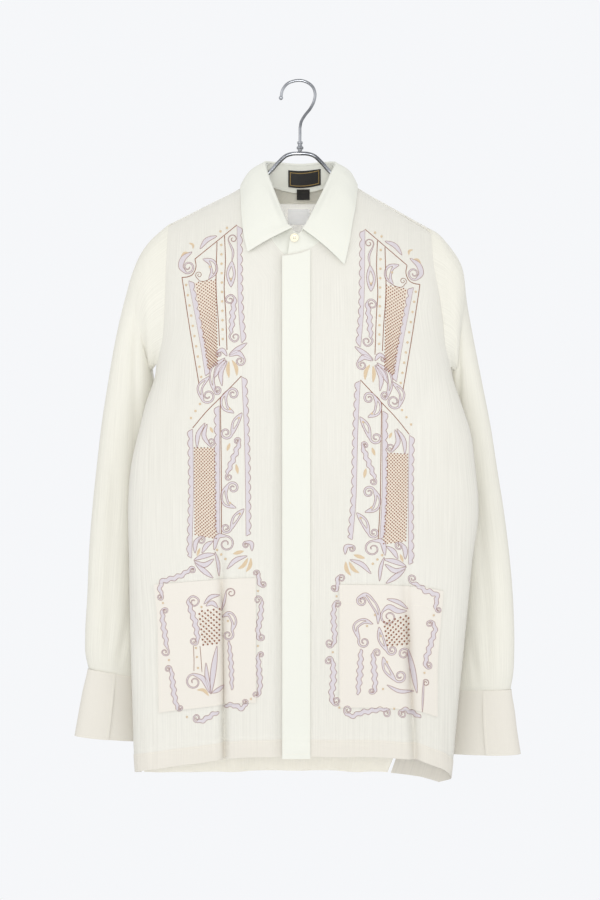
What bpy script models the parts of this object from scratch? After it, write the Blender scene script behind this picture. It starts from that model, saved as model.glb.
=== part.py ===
"""Long-sleeved barong tagalog shirt hanging on a chrome wire hanger, at real size.

Metres, +Z up.  The origin is the inside top of the hanger's hook, where a rail or peg carries it.
The shirt's front faces -Y, and +X is on the right of someone who looks at the front.
A side is -1 for the half at -X and +1 for the half at +X.
"""

import math

import bmesh
import bpy
import numpy as np

CLOTH = 0.0012
COLLAR_CLOTH = 0.0014
TRIM = 0.0008
SEAM = 0.0003
FOLDED_EDGE = 0.0006

# The hanger: a hook wire, a ferrule, and one bent wire whose arch shows in the neck.
HOOK_WIRE = 0.0018
ARM_WIRE = 0.0024
HOOK = (
    (-0.0232, -0.0195), (-0.0214, -0.0100), (-0.0155, -0.0022), (-0.0070, 0.0013),
    (0.0011, 0.0019), (0.0095, -0.0008), (0.0160, -0.0066), (0.0184, -0.0140),
    (0.0172, -0.0230), (0.0128, -0.0320), (0.0058, -0.0410), (0.0015, -0.0485),
    (0.0000, -0.0560), (0.0000, -0.0834),
)
FERRULE = (
    (0.0000, -0.0846), (0.0026, -0.0846), (0.0026, -0.0822), (0.0042, -0.0822),
    (0.0042, -0.0790), (0.0026, -0.0790), (0.0026, -0.0757), (0.0034, -0.0757),
    (0.0034, -0.0727), (0.0019, -0.0727), (0.0019, -0.0836), (0.0000, -0.0836),
)
ARCH = ((0.0000, -0.0873), (0.0090, -0.0876), (0.0165, -0.0898), (0.0260, -0.0980),
        (0.0378, -0.1108), (0.0500, -0.1190))
ARM_TIP = {
    -1: ((0.1600, -0.1797), (0.1715, -0.1905), (0.1825, -0.2030), (0.1885, -0.2120)),
    1: ((0.1600, -0.1857), (0.1710, -0.1965), (0.1810, -0.2090), (0.1865, -0.2185)),
}

# The shoulder ridge is the line where the cloth hangs over the hanger's arms.
RIDGE = {
    -1: ((0.050, -0.1142), (0.0717, -0.1290), (0.110, -0.1487), (0.158, -0.1729), (0.200, -0.1940)),
    1: ((0.050, -0.1142), (0.0705, -0.1290), (0.110, -0.1518), (0.159, -0.1795), (0.200, -0.2030)),
}
RIDGE_ABOVE_WIRE = 0.0052
NECK_X = 0.050
NECK_RISE = 0.022
ROUND = 2.6
FRONT_FALL = 0.110
BACK_FALL = 0.075
FALL_POWER = 0.68

# The body as level sections.  left and right are the reach to each side, front and back the
# depth in the middle, and side_y is how far forward the side edge stands.
BODY = (
    # z, left, right, front, back, side_y
    (-0.900, 0.192, 0.172, 0.050, 0.036, -0.016),
    (-0.860, 0.195, 0.177, 0.050, 0.036, -0.017),
    (-0.800, 0.200, 0.184, 0.051, 0.037, -0.019),
    (-0.725, 0.2025, 0.191, 0.053, 0.038, -0.022),
    (-0.616, 0.205, 0.202, 0.056, 0.040, -0.026),
    (-0.560, 0.2055, 0.2075, 0.057, 0.042, -0.028),
    (-0.510, 0.2065, 0.2143, 0.059, 0.043, -0.029),
    (-0.460, 0.2025, 0.2103, 0.060, 0.044, -0.029),
    (-0.420, 0.1930, 0.2045, 0.061, 0.045, -0.027),
    (-0.390, 0.1856, 0.1945, 0.062, 0.046, -0.022),
    (-0.360, 0.1760, 0.1850, 0.062, 0.047, -0.012),
    (-0.330, 0.1740, 0.1815, 0.062, 0.047, -0.006),
    (-0.250, 0.1770, 0.1830, 0.062, 0.047, -0.002),
    (-0.180, 0.1870, 0.1890, 0.062, 0.047, 0.000),
    (-0.090, 0.1900, 0.1900, 0.062, 0.047, 0.000),
)

# The armhole seam: share of the way from the ridge down to the underarm, and distance from the
# middle.  Its last place is always the body's side edge.
ARMHOLE = {
    -1: ((0.0, 0.1600), (0.3, 0.1612), (0.6, 0.1628), (0.85, 0.1665), (1.0, 0.1748)),
    1: ((0.0, 0.1590), (0.3, 0.1612), (0.5, 0.1675), (0.7, 0.1725), (0.88, 0.1765), (1.0, 0.1832)),
}
UNDERARM = {-1: -0.3470, 1: -0.3500}

# How far the hem hangs below the middle of the front, by distance round the body.
SAG = {
    -1: ((0.0, 0.000), (0.07, 0.001), (0.11, 0.005), (0.15, 0.011), (0.19, 0.018), (0.225, 0.026),
         (0.26, 0.031), (0.33, 0.034), (0.50, 0.034)),
    1: ((0.0, 0.000), (0.10, 0.001), (0.15, 0.006), (0.18, 0.018), (0.205, 0.034), (0.225, 0.041),
        (0.25, 0.037), (0.30, 0.034), (0.50, 0.034)),
}
HEM = -0.8130
HEM_TOP = -0.7925
POCKET_LEVELS = {-1: (-0.7480, -0.6000), 1: (-0.7540, -0.6080)}
POCKET_REACH = {-1: (0.0520, 0.1780), 1: (0.0465, 0.1720)}

# How far behind the body's side edge the side seam lies, at the underarm and at the hem.
SEAM_BEHIND = {-1: (0.000, 0.016), 1: (0.000, 0.088)}
VENT_TOP = -0.7450
VENT_GAP = 0.0036

# Folds of the hanging cloth: each runs from its top to its foot, sinks in by depth over a half
# width of reach, and its lip leans sideways over it by lean.
FOLDS = (
    # face, x_top, z_top, x_foot, z_foot, depth, reach, lean, fade_top, fade_foot
    ("front", -0.0960, -0.500, -0.0920, -0.900, 0.0110, 0.0085, 0.0050, 0.160, 0.010),
    ("front", 0.1220, -0.530, 0.1450, -0.900, 0.0130, 0.0095, -0.0050, 0.180, 0.010),
    ("front", -0.1480, -0.560, -0.1600, -0.900, 0.0035, 0.0180, 0.0, 0.200, 0.010),
    ("front", 0.0850, -0.640, 0.0700, -0.900, 0.0030, 0.0160, 0.0, 0.150, 0.010),
    ("front", 0.1680, -0.340, 0.1200, -0.460, 0.0035, 0.0130, 0.0, 0.040, 0.070),
    ("front", -0.1450, -0.330, -0.1700, -0.480, 0.0035, 0.0120, 0.0, 0.050, 0.080),
    ("front", -0.1320, -0.210, -0.1450, -0.330, 0.0030, 0.0130, 0.0, 0.050, 0.060),
    ("front", 0.1280, -0.210, 0.1420, -0.330, 0.0030, 0.0130, 0.0, 0.050, 0.060),
    ("back", -0.0600, -0.330, -0.0850, -0.900, 0.0080, 0.0170, 0.0, 0.200, 0.010),
    ("back", 0.0550, -0.300, 0.0700, -0.900, 0.0090, 0.0170, 0.0, 0.220, 0.010),
    ("back", -0.1250, -0.400, -0.1350, -0.900, 0.0050, 0.0170, 0.0, 0.200, 0.010),
    ("back", 0.0000, -0.420, -0.0050, -0.900, 0.0045, 0.0190, 0.0, 0.200, 0.010),
)

# The neck, station by station: the band's seam on the body (y comes from the body), the fold line
# at the band's top, and the collar's outer edge (y comes from the body unless it is given).
NECK = (
    # base_x, base_z, face, top_x, top_y, top_z, edge_x, edge_y, edge_z
    (0.0060, -0.2165, "front", 0.0050, -0.0585, -0.1945, None, None, None),
    (-0.0125, -0.2200, "front", -0.0090, -0.0600, -0.1890, -0.0621, None, -0.2150),
    (-0.0335, -0.2000, "front", -0.0170, -0.0530, -0.1750, -0.0665, None, -0.1950),
    (-0.0450, -0.1650, "front", -0.0295, -0.0350, -0.1420, -0.0695, None, -0.1700),
    (-0.0498, -0.1350, "front", -0.0380, -0.0150, -0.1165, -0.0712, None, -0.1470),
    (-0.0510, -0.1148, "ridge", -0.0412, 0.0040, -0.1000, -0.0715, 0.0030, -0.1245),
    (-0.0320, -0.1230, "back", -0.0310, 0.0230, -0.0960, -0.0540, None, -0.1400),
    (0.0000, -0.1276, "back", 0.0000, 0.0320, -0.0968, 0.0000, None, -0.1420),
    (0.0320, -0.1230, "back", 0.0310, 0.0230, -0.0960, 0.0540, None, -0.1400),
    (0.0510, -0.1148, "ridge", 0.0418, 0.0040, -0.1010, 0.0695, 0.0030, -0.1236),
    (0.0496, -0.1350, "front", 0.0360, -0.0150, -0.1170, 0.0672, None, -0.1530),
    (0.0440, -0.1650, "front", 0.0260, -0.0350, -0.1420, 0.0625, None, -0.1780),
    (0.0340, -0.1920, "front", 0.0120, -0.0530, -0.1720, 0.0580, None, -0.2050),
    (0.0156, -0.2085, "front", 0.0016, -0.0605, -0.1905, 0.0525, None, -0.2304),
    (-0.0209, -0.2195, "front", -0.0140, -0.0630, -0.1970, None, None, None),
)
LEFT_SIDE, RIGHT_SIDE = 5, 9
BAND_END_INSET = 0.0065
COLLAR_ROLL = ((0.0003, 0.0000), (0.0020, 0.0003), (0.0031, 0.0014), (0.0033, 0.0030), (0.0022, 0.0045))
COLLAR_BULGE = 0.0045
COLLAR_OFF_BODY = 0.0026

YOKE_FRONT = {-1: 0.003, 1: 0.006}
YOKE_ARM_DEPTH = 0.058
YOKE_ARM_STEPS = (0.0, 0.003, 0.011, 0.026, 0.042, YOKE_ARM_DEPTH - SEAM)
YOKE_BACK = -0.2050

# Each sleeve as rings: outer and inner are the ends of a ring's long axis, half its short reach.
SLEEVE = {
    -1: (
        # outer_x, outer_y, outer_z, inner_x, inner_y, inner_z, half
        (0.1720, 0.000, -0.1838, 0.1800, 0.005, -0.3500, 0.028),
        (0.1820, 0.000, -0.1932, 0.1840, 0.012, -0.3560, 0.031),
        (0.1935, 0.001, -0.2086, 0.1840, 0.024, -0.3650, 0.033),
        (0.2032, 0.002, -0.2294, 0.1810, 0.036, -0.3770, 0.034),
        (0.2134, 0.001, -0.2635, 0.1730, 0.048, -0.3960, 0.034),
        (0.2255, -0.003, -0.3184, 0.1600, 0.056, -0.4250, 0.034),
        (0.2330, -0.005, -0.3650, 0.1540, 0.062, -0.4560, 0.033),
        (0.2398, -0.006, -0.4111, 0.1510, 0.063, -0.4920, 0.032),
        (0.2450, -0.007, -0.4600, 0.1520, 0.063, -0.5300, 0.031),
        (0.2496, -0.008, -0.5100, 0.1540, 0.062, -0.5680, 0.030),
        (0.2545, -0.008, -0.5700, 0.1580, 0.060, -0.6120, 0.029),
        (0.2569, -0.008, -0.6259, 0.1630, 0.056, -0.6560, 0.028),
        (0.2600, -0.007, -0.6760, 0.1690, 0.051, -0.7000, 0.026),
        (0.2600, -0.005, -0.6990, 0.1730, 0.047, -0.7210, 0.023),
        (0.2570, -0.003, -0.7145, 0.1770, 0.043, -0.7335, 0.0195),
    ),
    1: (
        (0.1700, 0.000, -0.1865, 0.1895, 0.005, -0.3530, 0.028),
        (0.1805, 0.000, -0.1985, 0.1925, 0.012, -0.3590, 0.031),
        (0.1904, 0.001, -0.2119, 0.1920, 0.023, -0.3680, 0.033),
        (0.1965, 0.002, -0.2240, 0.1885, 0.036, -0.3800, 0.033),
        (0.2050, 0.004, -0.2740, 0.1820, 0.051, -0.4000, 0.032),
        (0.2140, 0.005, -0.3230, 0.1740, 0.065, -0.4300, 0.030),
        (0.2225, 0.005, -0.3680, 0.1670, 0.073, -0.4620, 0.029),
        (0.2318, 0.004, -0.4185, 0.1620, 0.075, -0.4990, 0.028),
        (0.2390, 0.002, -0.4700, 0.1600, 0.074, -0.5370, 0.028),
        (0.2460, 0.000, -0.5200, 0.1600, 0.072, -0.5760, 0.028),
        (0.2535, -0.003, -0.5800, 0.1610, 0.067, -0.6230, 0.028),
        (0.2579, -0.006, -0.6368, 0.1640, 0.061, -0.6700, 0.027),
        (0.2592, -0.007, -0.6954, 0.1680, 0.054, -0.7120, 0.025),
        (0.2585, -0.005, -0.7220, 0.1705, 0.049, -0.7330, 0.023),
        (0.2560, -0.003, -0.7395, 0.1730, 0.044, -0.7455, 0.0195),
    ),
}

# Cuffs, from the wrist seam down to the open end, as the same kind of rings.
CUFF = {
    -1: (
        (0.2575, -0.003, -0.7157, 0.1765, 0.043, -0.7347, 0.0185),
        (0.2605, -0.005, -0.7350, 0.1770, 0.043, -0.7540, 0.0190),
        (0.2650, -0.008, -0.7620, 0.1775, 0.043, -0.7810, 0.0200),
        (0.2707, -0.011, -0.7960, 0.1780, 0.043, -0.8110, 0.0210),
    ),
    1: (
        (0.2565, -0.003, -0.7407, 0.1725, 0.044, -0.7467, 0.0185),
        (0.2580, -0.005, -0.7600, 0.1720, 0.044, -0.7660, 0.0190),
        (0.2605, -0.008, -0.7870, 0.1700, 0.044, -0.7930, 0.0200),
        (0.2650, -0.011, -0.8180, 0.1680, 0.044, -0.8245, 0.0210),
    ),
}
CUFF_START, CUFF_END = math.radians(32), math.radians(427)

PLACKET_LEFT = -0.0209
PLACKET_RIGHT = 0.0122
PLACKET_FOOT = -0.8155
UNDERLAP_X = 0.0060
UNDERLAP_DROP = 0.0028

CENTRE_ROWS = 4
NECK_ROWS = 6
BACK_ARM_ROWS = 6
YOKE_ROWS = 7
BACK_SPREAD = (0.0, 0.025, 0.06, 0.11, 0.17, 0.25, 0.34, 0.44, 0.55, 0.66, 0.77, 0.88, 1.0)

SHEER = ("sheer_cloth", (0.86, 0.84, 0.76, 1), 0.75, 0.0)
DOUBLE = ("double_cloth", (0.90, 0.88, 0.78, 1), 0.70, 0.0)
CHROME = ("chrome", (0.80, 0.80, 0.82, 1), 0.12, 1.0)
PEARL = ("button", (0.88, 0.82, 0.66, 1), 0.30, 0.0)
BLACK = ("black_label", (0.03, 0.03, 0.03, 1), 0.80, 0.0)
WHITE = ("care_label", (0.90, 0.90, 0.92, 1), 0.60, 0.0)


def hermite(knots, values, at):
    """A smooth curve through the values at the knots, read at the given places."""
    knots = np.asarray(knots, float)
    values = np.asarray(values, float)
    at = np.clip(np.asarray(at, float), knots[0], knots[-1])
    slopes = np.gradient(values, knots, axis=0)
    i = np.clip(np.searchsorted(knots, at, side="right") - 1, 0, len(knots) - 2)
    width = knots[i + 1] - knots[i]
    t = (at - knots[i]) / width
    if values.ndim > 1:
        width = width[..., None]
        t = t[..., None]
    start = (1 + 2 * t) * (1 - t) ** 2 * values[i]
    end = t * t * (3 - 2 * t) * values[i + 1]
    return start + end + t * (1 - t) * width * ((1 - t) * slopes[i] - t * slopes[i + 1])


def table(rows, at, column=1):
    return hermite([row[0] for row in rows], [row[column] for row in rows], at)


def step(t):
    """0 below 0, 1 above 1, and a smooth rise between."""
    t = np.clip(t, 0, 1)
    return t * t * (3 - 2 * t)


def unit(vectors):
    length = np.linalg.norm(vectors, axis=-1, keepdims=True)
    return vectors / np.maximum(length, 1e-12)


def half_width(side, z):
    return table(BODY, z, 1 if side < 0 else 2)


def ridge(x):
    """Height of the shoulder ridge.  Across the neck it is the line the cloth would take."""
    x = np.asarray(x, float)
    out = np.maximum(np.abs(x), NECK_X)
    rise = NECK_RISE * np.clip(1 - (x / NECK_X) ** 2, 0, 1)
    return np.where(x < 0, table(RIDGE[-1], out), table(RIDGE[1], out)) + rise


def fall(x, z, length):
    """0 on the ridge, growing to 1 where the cloth hangs free below it."""
    below = np.clip((ridge(x) - z) / length, 0, 1)
    return np.sin(0.5 * math.pi * below) ** FALL_POWER


def fold_shift(face, x, z):
    """How far the folds move the front or the back at a place: (x, y)."""
    inward = 1.0 if face == "front" else -1.0
    dx = np.zeros_like(x)
    dy = np.zeros_like(x)
    for kind, x_top, z_top, x_foot, z_foot, depth, reach, lean, fade_top, fade_foot in FOLDS:
        if kind != face:
            continue
        middle = x_top + (x_foot - x_top) * (z_top - z) / (z_top - z_foot)
        strength = step((z_top - z) / fade_top) * step((z - z_foot) / fade_foot)
        off = (x - middle) / reach
        dy = dy + inward * strength * depth * np.exp(-off * off)
        beside = off + math.copysign(1.1, lean)
        dx = dx + strength * lean * np.exp(-beside * beside / 1.6)
    return dx, dy


def skin(side, out, theta, z, level):
    """The body's outer skin.  theta is -90 degrees in the middle of the front, 0 at the side
    edge and 90 in the middle of the back; out is the distance to the side, level the section."""
    half = half_width(side, level)
    round_off = np.abs(np.sin(theta))
    x = side * out
    front = table(BODY, level, 3) * fall(x, z, FRONT_FALL) * round_off
    back = table(BODY, level, 4) * fall(x, z, BACK_FALL) * round_off
    spine = table(BODY, level, 5) * (out / half) ** 2
    is_front = theta < 0
    front_dx, front_dy = fold_shift("front", x, z)
    back_dx, back_dy = fold_shift("back", x, z)
    y = spine + np.where(is_front, front_dy * round_off - front, back_dy * round_off + back)
    x = x + round_off * np.where(is_front, front_dx, back_dx)
    return np.stack([x, y, z + 0 * x], axis=-1)


def face_point(face, x, z):
    """The body's skin at a place seen from the front or the back."""
    x, z = np.broadcast_arrays(np.asarray(x, float), np.asarray(z, float))
    sign = -1.0 if face == "front" else 1.0
    sides = []
    for side in (-1, 1):
        share = np.clip(np.abs(x) / half_width(side, z), 0, 1)
        theta = sign * np.arcsin(np.sqrt(1 - share ** ROUND))
        sides.append(skin(side, side * x, theta, z, z))
    return np.where((x < 0)[..., None], sides[0], sides[1])


def measured(points):
    """Distance along a line of points."""
    return np.concatenate([[0], np.cumsum(np.linalg.norm(np.diff(points, axis=0), axis=1))])


def read_line(points, lengths, at):
    return np.stack([np.interp(at, lengths, points[:, k]) for k in range(3)], axis=-1)


def level_line(side, level, start=0.0):
    """The skin along one level of the weave, from the front's middle round the side to the back's
    middle, the distance along it, and where its side edge is."""
    half = float(half_width(side, level))
    out = np.linspace(start, 0.80 * half, 220)
    theta = -np.arcsin(np.sqrt(1 - (np.abs(out) / half) ** ROUND))
    turn = np.linspace(theta[-1], 0.5 * math.pi, 420)[1:]
    out = np.concatenate([out, half * np.abs(np.cos(turn)) ** (2 / ROUND)])
    theta = np.concatenate([theta, turn])
    line = skin(side, out, theta, np.full_like(out, level), level)
    lengths = measured(line) + start
    edge = float(lengths[np.argmin(np.abs(theta))])
    share = (UNDERARM[side] - level) / (UNDERARM[side] - HEM)
    line[:, 2] = level - share * np.interp(lengths, *zip(*SAG[side]))
    return line, lengths, edge


def seam_place(side, level, edge, ahead):
    """Where along a level line one edge of the side seam lies; below the vent's top it opens."""
    share = np.clip((UNDERARM[side] - level) / (UNDERARM[side] - HEM), 0, 1)
    near, far = SEAM_BEHIND[side]
    gap = SEAM + VENT_GAP * step((VENT_TOP - level) / (VENT_TOP - HEM))
    return edge + near + (far - near) * share ** 1.5 - ahead * gap / 2


def armhole(side, depth_share):
    """Distance to the side and height of the armhole seam."""
    bottom = float(half_width(side, UNDERARM[side]))
    rows = ARMHOLE[side][:-1] + ((1.0, bottom),)
    out = table(rows, depth_share)
    deep = float(ridge(side * bottom)) - UNDERARM[side]
    return out, ridge(side * out) - deep * np.asarray(depth_share), deep


def armhole_point(side, face, depth_share):
    out, z, _ = armhole(side, depth_share)
    return face_point(face, side * out, z)


def armhole_shares(side):
    """The armhole's places, shared by the sleeve and what is sewn to it: front and back from the
    underarm up to the yoke, and the yoke's own from the front over the ridge to the back."""
    _, _, deep = armhole(side, 0.0)
    rise = 0.5 + 0.5 * np.cos(np.linspace(0, 1, CENTRE_ROWS + NECK_ROWS + 1) * math.pi)
    top = (YOKE_FRONT[side] + SEAM) / deep
    front = top + (1 - top) * rise
    up = np.sin(np.linspace(0, 1, BACK_ARM_ROWS + 1) * 0.5 * math.pi) ** 1.5
    back_top = YOKE_ARM_DEPTH / deep
    back = 1 - (1 - back_top) * (0.5 * up + 0.5 * np.linspace(0, 1, BACK_ARM_ROWS + 1) ** 1.3)
    yoke = np.array(YOKE_ARM_STEPS) / deep
    return front, back, yoke


def neck_lines():
    """The band's seam, the fold line and the collar's edge through the neck's stations."""
    base = []
    for x, z, face, *_ in NECK:
        if face == "ridge":
            base.append((x, 0.0, float(ridge(x))))
        else:
            base.append(tuple(face_point(face, x, z)))
    top = [row[3:6] for row in NECK]
    edge = []
    for row in NECK[1:-1]:
        x, y, z = row[6:9]
        if y is None:
            away = -COLLAR_OFF_BODY - 0.001 if row[2] == "front" else COLLAR_OFF_BODY + 0.001
            y = float(face_point(row[2], x, z)[1]) + away
        edge.append((x, y, z))
    base = np.array(base)
    return base, np.array(top), np.array(edge), measured(base)


def neck_stations():
    """Distances along the band's seam: under the left front, the yoke and the right front."""
    _, _, _, lengths = neck_lines()
    left = lengths[LEFT_SIDE] - YOKE_FRONT[-1]
    right = lengths[RIGHT_SIDE] + YOKE_FRONT[1]
    middle = np.concatenate([[left], np.linspace(lengths[LEFT_SIDE], lengths[RIGHT_SIDE], 9), [right]])
    return (
        np.linspace(0, left - SEAM, NECK_ROWS + 1),
        middle,
        np.linspace(right + SEAM, lengths[-1], NECK_ROWS + 1),
    )


def neck_seam(at):
    """The band's seam on the skin at distances along it."""
    base, _, _, lengths = neck_lines()
    points = hermite(lengths, base, at)
    result = []
    for place, (x, _, z) in zip(at, points):
        below = float(ridge(x)) - z
        if abs(place - lengths[LEFT_SIDE]) < 1e-6 or abs(place - lengths[RIGHT_SIDE]) < 1e-6:
            result.append(np.array([x, 0.0, float(ridge(x))]))
            continue
        face = "back" if lengths[LEFT_SIDE] < place < lengths[RIGHT_SIDE] else "front"
        result.append(face_point(face, x, float(ridge(x)) - max(below, 1e-5)))
    return np.array(result)


def under_step(points):
    """How far back the underlap of the wearer's right front lies, by place."""
    return (UNDERLAP_DROP * step((points[..., 0] + 0.034) / 0.010))[..., None] * np.array([0, 1, 0])


def material(look):
    name, colour, roughness, metallic = look
    found = bpy.data.materials.get(name)
    if found:
        return found
    made = bpy.data.materials.new(name)
    made.use_nodes = True
    made.diffuse_color = colour
    shader = made.node_tree.nodes["Principled BSDF"]
    shader.inputs["Base Color"].default_value = colour
    shader.inputs["Roughness"].default_value = roughness
    shader.inputs["Metallic"].default_value = metallic
    return made


def finish(name, data, look, smooth=True):
    """Gives a bmesh its faces' directions, its look and its name."""
    bmesh.ops.recalc_face_normals(data, faces=data.faces)
    mesh = bpy.data.meshes.new(name)
    data.to_mesh(mesh)
    data.free()
    mesh.materials.append(material(look))
    if smooth:
        mesh.shade_smooth()
        mesh.set_sharp_from_angle(angle=math.radians(50))
    made = bpy.data.objects.new(name, mesh)
    bpy.context.scene.collection.objects.link(made)
    return made


def grid_normals(points, closed=False):
    """Normals of a grid whose rows run up and whose columns run towards +X on the front."""
    if closed:
        across = np.roll(points, -1, axis=1) - np.roll(points, 1, axis=1)
    else:
        across = np.gradient(points, axis=1)
    return unit(np.cross(unit(across), unit(np.gradient(points, axis=0))))


def panel_normals(face, points, along):
    """Normals of a panel from the direction of its rows and the slope of the skin up and down."""
    up = unit(np.gradient(points, axis=0))
    x, z = points[..., 0], points[..., 2]
    reach = np.where(x < 0, half_width(-1, z), half_width(1, z))
    high = (z > UNDERARM[1] + 0.004) & (np.abs(x) < 0.96 * reach)
    slope = face_point(face, x, z + 0.0002) - face_point(face, x, z - 0.0002)
    up = np.where(high[..., None], unit(slope), up)
    return unit(np.cross(unit(along), up))


def row_at(line, lengths, places):
    """Points of a row at the given places, and the row's direction there."""
    near = read_line(line, lengths, places)
    along = read_line(line, lengths, places + 0.0006) - read_line(line, lengths, places - 0.0006)
    return near, along


def wall(name, outer, inner, look, closed=False):
    """A wall between an outer and an inner grid of points."""
    data = bmesh.new()
    rows, columns = outer.shape[:2]
    skins = [[[data.verts.new(point) for point in row] for row in grid] for grid in (outer, inner)]
    spans = columns if closed else columns - 1
    for grid in skins:
        for i in range(rows - 1):
            for j in range(spans):
                k = (j + 1) % columns
                data.faces.new((grid[i][j], grid[i][k], grid[i + 1][k], grid[i + 1][j]))
    near, far = skins
    for i in (0, rows - 1):
        for j in range(spans):
            k = (j + 1) % columns
            data.faces.new((near[i][j], near[i][k], far[i][k], far[i][j]))
    if not closed:
        for j in (0, columns - 1):
            for i in range(rows - 1):
                data.faces.new((near[i][j], near[i + 1][j], far[i + 1][j], far[i][j]))
    return finish(name, data, look)


def front_columns(side):
    near, far = POCKET_REACH[side]
    return np.array((0, 0.024, 0.034, near, 0.066, 0.080, 0.089, 0.098, 0.107, 0.116, 0.125,
                     0.134, 0.143, 0.152, far))


def front_places(side, start, end):
    """A front row's column places: fixed as far as the pocket's outer edge, then spread out."""
    columns = front_columns(side)
    begin = max(start, 0)
    far = min(columns[-1], begin + 0.93 * (end - begin))
    places = begin + columns / columns[-1] * (far - begin)
    places[0] = start
    return np.concatenate([places, np.linspace(far, end, 7)[1:]])


def front_levels(side):
    """Levels of a front's rows from the hem, whose turned edge is thicker, to the underarm."""
    bottom, top = POCKET_LEVELS[side]
    return np.concatenate([
        [HEM, HEM_TOP - 0.0004, HEM_TOP + 0.0004],
        np.linspace(HEM_TOP, bottom, 3)[1:],
        np.linspace(bottom, top, 8)[1:],
        np.linspace(top, UNDERARM[side], 10)[1:],
    ])


def front_grid(side):
    start = -UNDERLAP_X if side < 0 else PLACKET_LEFT
    rows, directions = [], []
    for level in front_levels(side):
        line, lengths, edge = level_line(side, level, start)
        places = front_places(side, start, seam_place(side, level, edge, 1))
        row, along = row_at(line, lengths, places)
        rows.append(row)
        directions.append(along)
    shares, _, _ = armhole_shares(side)
    left, _, right = neck_stations()
    neck = neck_seam(left if side < 0 else right[::-1])
    for k in range(1, len(shares)):
        out_end, z_end, _ = armhole(side, shares[k])
        if k < CENTRE_ROWS:
            out_start = start
            z_start = UNDERARM[side] + (neck[0][2] - UNDERARM[side]) * k / CENTRE_ROWS
        else:
            out_start = side * neck[k - CENTRE_ROWS][0]
            z_start = neck[k - CENTRE_ROWS][2]
        out = np.linspace(out_start, float(out_end), 200)
        high = (k / (len(shares) - 1)) ** 2
        share = np.linspace(0, 1, 200)
        level = z_start + (float(z_end) - z_start) * share ** (1.6 - 0.6 * high)
        begin, end = ridge(side * out[0]) - z_start, ridge(side * out[-1]) - float(z_end)
        z = level + high * (ridge(side * out) - (begin + (end - begin) * share) - level)
        line = face_point("front", side * out, np.minimum(z, ridge(side * out) - 1e-5))
        lengths = measured(line) + out_start
        row, along = row_at(line, lengths, front_places(side, out_start, lengths[-1]))
        rows.append(row)
        directions.append(along)
    points = np.array(rows)
    return points, panel_normals("front", points, np.array(directions)) * side


def front(side):
    """One front: the wearer's right at -X, the left at +X, which carries the placket."""
    points, normals = front_grid(side)
    outer = points.copy()
    outer[:2] += normals[:2] * FOLDED_EDGE
    inner = points - normals * CLOTH
    if side < 0:
        outer = outer + under_step(points)
        inner = inner + under_step(points)
    wall("front_right" if side < 0 else "front_left", outer, inner, SHEER)
    return points, normals


def placket():
    """The fly strip down the overlap, on the skin of the wearer's left front."""
    levels = np.concatenate([[PLACKET_FOOT, HEM_TOP - 0.0004, HEM_TOP + 0.0004],
                             np.linspace(HEM_TOP, -0.2240, 17)[1:], [-0.2205]])
    x = np.array([PLACKET_LEFT - 0.0002, -0.0100, 0.0020, PLACKET_RIGHT])
    points = face_point("front", x[None, :], levels[:, None])
    points[-1, :, 2] += np.array([0.0006, 0.0016, 0.0042, 0.0080])
    normals = grid_normals(points)
    lift = np.full(len(levels), 1.5 * SEAM)
    lift[:2] += FOLDED_EDGE
    inner = points + normals * lift[:, None, None]
    wall("placket", inner + normals * CLOTH, inner, DOUBLE)


def pocket(side, points, normals):
    """A patch pocket, made from the front's own points moved out."""
    levels = front_levels(side)
    bottom, top = POCKET_LEVELS[side]
    rows = [i for i, level in enumerate(levels) if bottom - 1e-6 <= level <= top + 1e-6]
    columns = range(3, len(front_columns(side)))
    choose = np.ix_(rows, list(columns))
    base, out = points[choose], normals[choose]
    inner = base + out * SEAM
    wall("pocket_right" if side < 0 else "pocket_left", inner + out * CLOTH, inner, DOUBLE)


def back():
    """The back below the yoke, from one side seam to the other."""
    halves, turns = [], []
    for side in (-1, 1):
        rows, directions = [], []
        for level in front_levels(side):
            line, lengths, edge = level_line(side, level)
            start = seam_place(side, level, edge, -1)
            row, along = row_at(line, lengths, start + (lengths[-1] - start) * np.array(BACK_SPREAD))
            rows.append(row)
            directions.append(along)
        _, shares, _ = armhole_shares(side)
        for k in range(1, len(shares)):
            out_end, z_end, _ = armhole(side, shares[k])
            out = np.linspace(float(out_end), 0, 200)
            share = np.linspace(1, 0, 200)
            centre = UNDERARM[side] + (YOKE_BACK - UNDERARM[side]) * k / (len(shares) - 1)
            z_row = centre + (float(z_end) - centre) * share ** 1.5
            line = face_point("back", side * out, z_row)
            lengths = measured(line)
            row, along = row_at(line, lengths, lengths[-1] * np.array(BACK_SPREAD))
            rows.append(row)
            directions.append(along)
        halves.append(np.array(rows))
        turns.append(-side * np.array(directions))
    left, right = halves
    middle = 0.5 * (left[:, -1] + right[:, -1])
    points = np.concatenate([left[:, :-1], middle[:, None], right[:, -2::-1]], axis=1)
    across = np.concatenate([turns[0], turns[1][:, -2::-1]], axis=1)
    normals = -panel_normals("back", points, across)
    outer = points.copy()
    outer[:2] += normals[:2] * FOLDED_EDGE
    wall("back", outer, points - normals * CLOTH, SHEER)
    return points[-1]


def yoke_point(x, depth):
    """The skin by distance below the ridge: negative in front, positive behind."""
    z = ridge(x) - np.abs(depth)
    front_side = face_point("front", x, z)
    back_side = face_point("back", x, z)
    return np.where((np.asarray(depth) < 0)[..., None], front_side, back_side)


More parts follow.
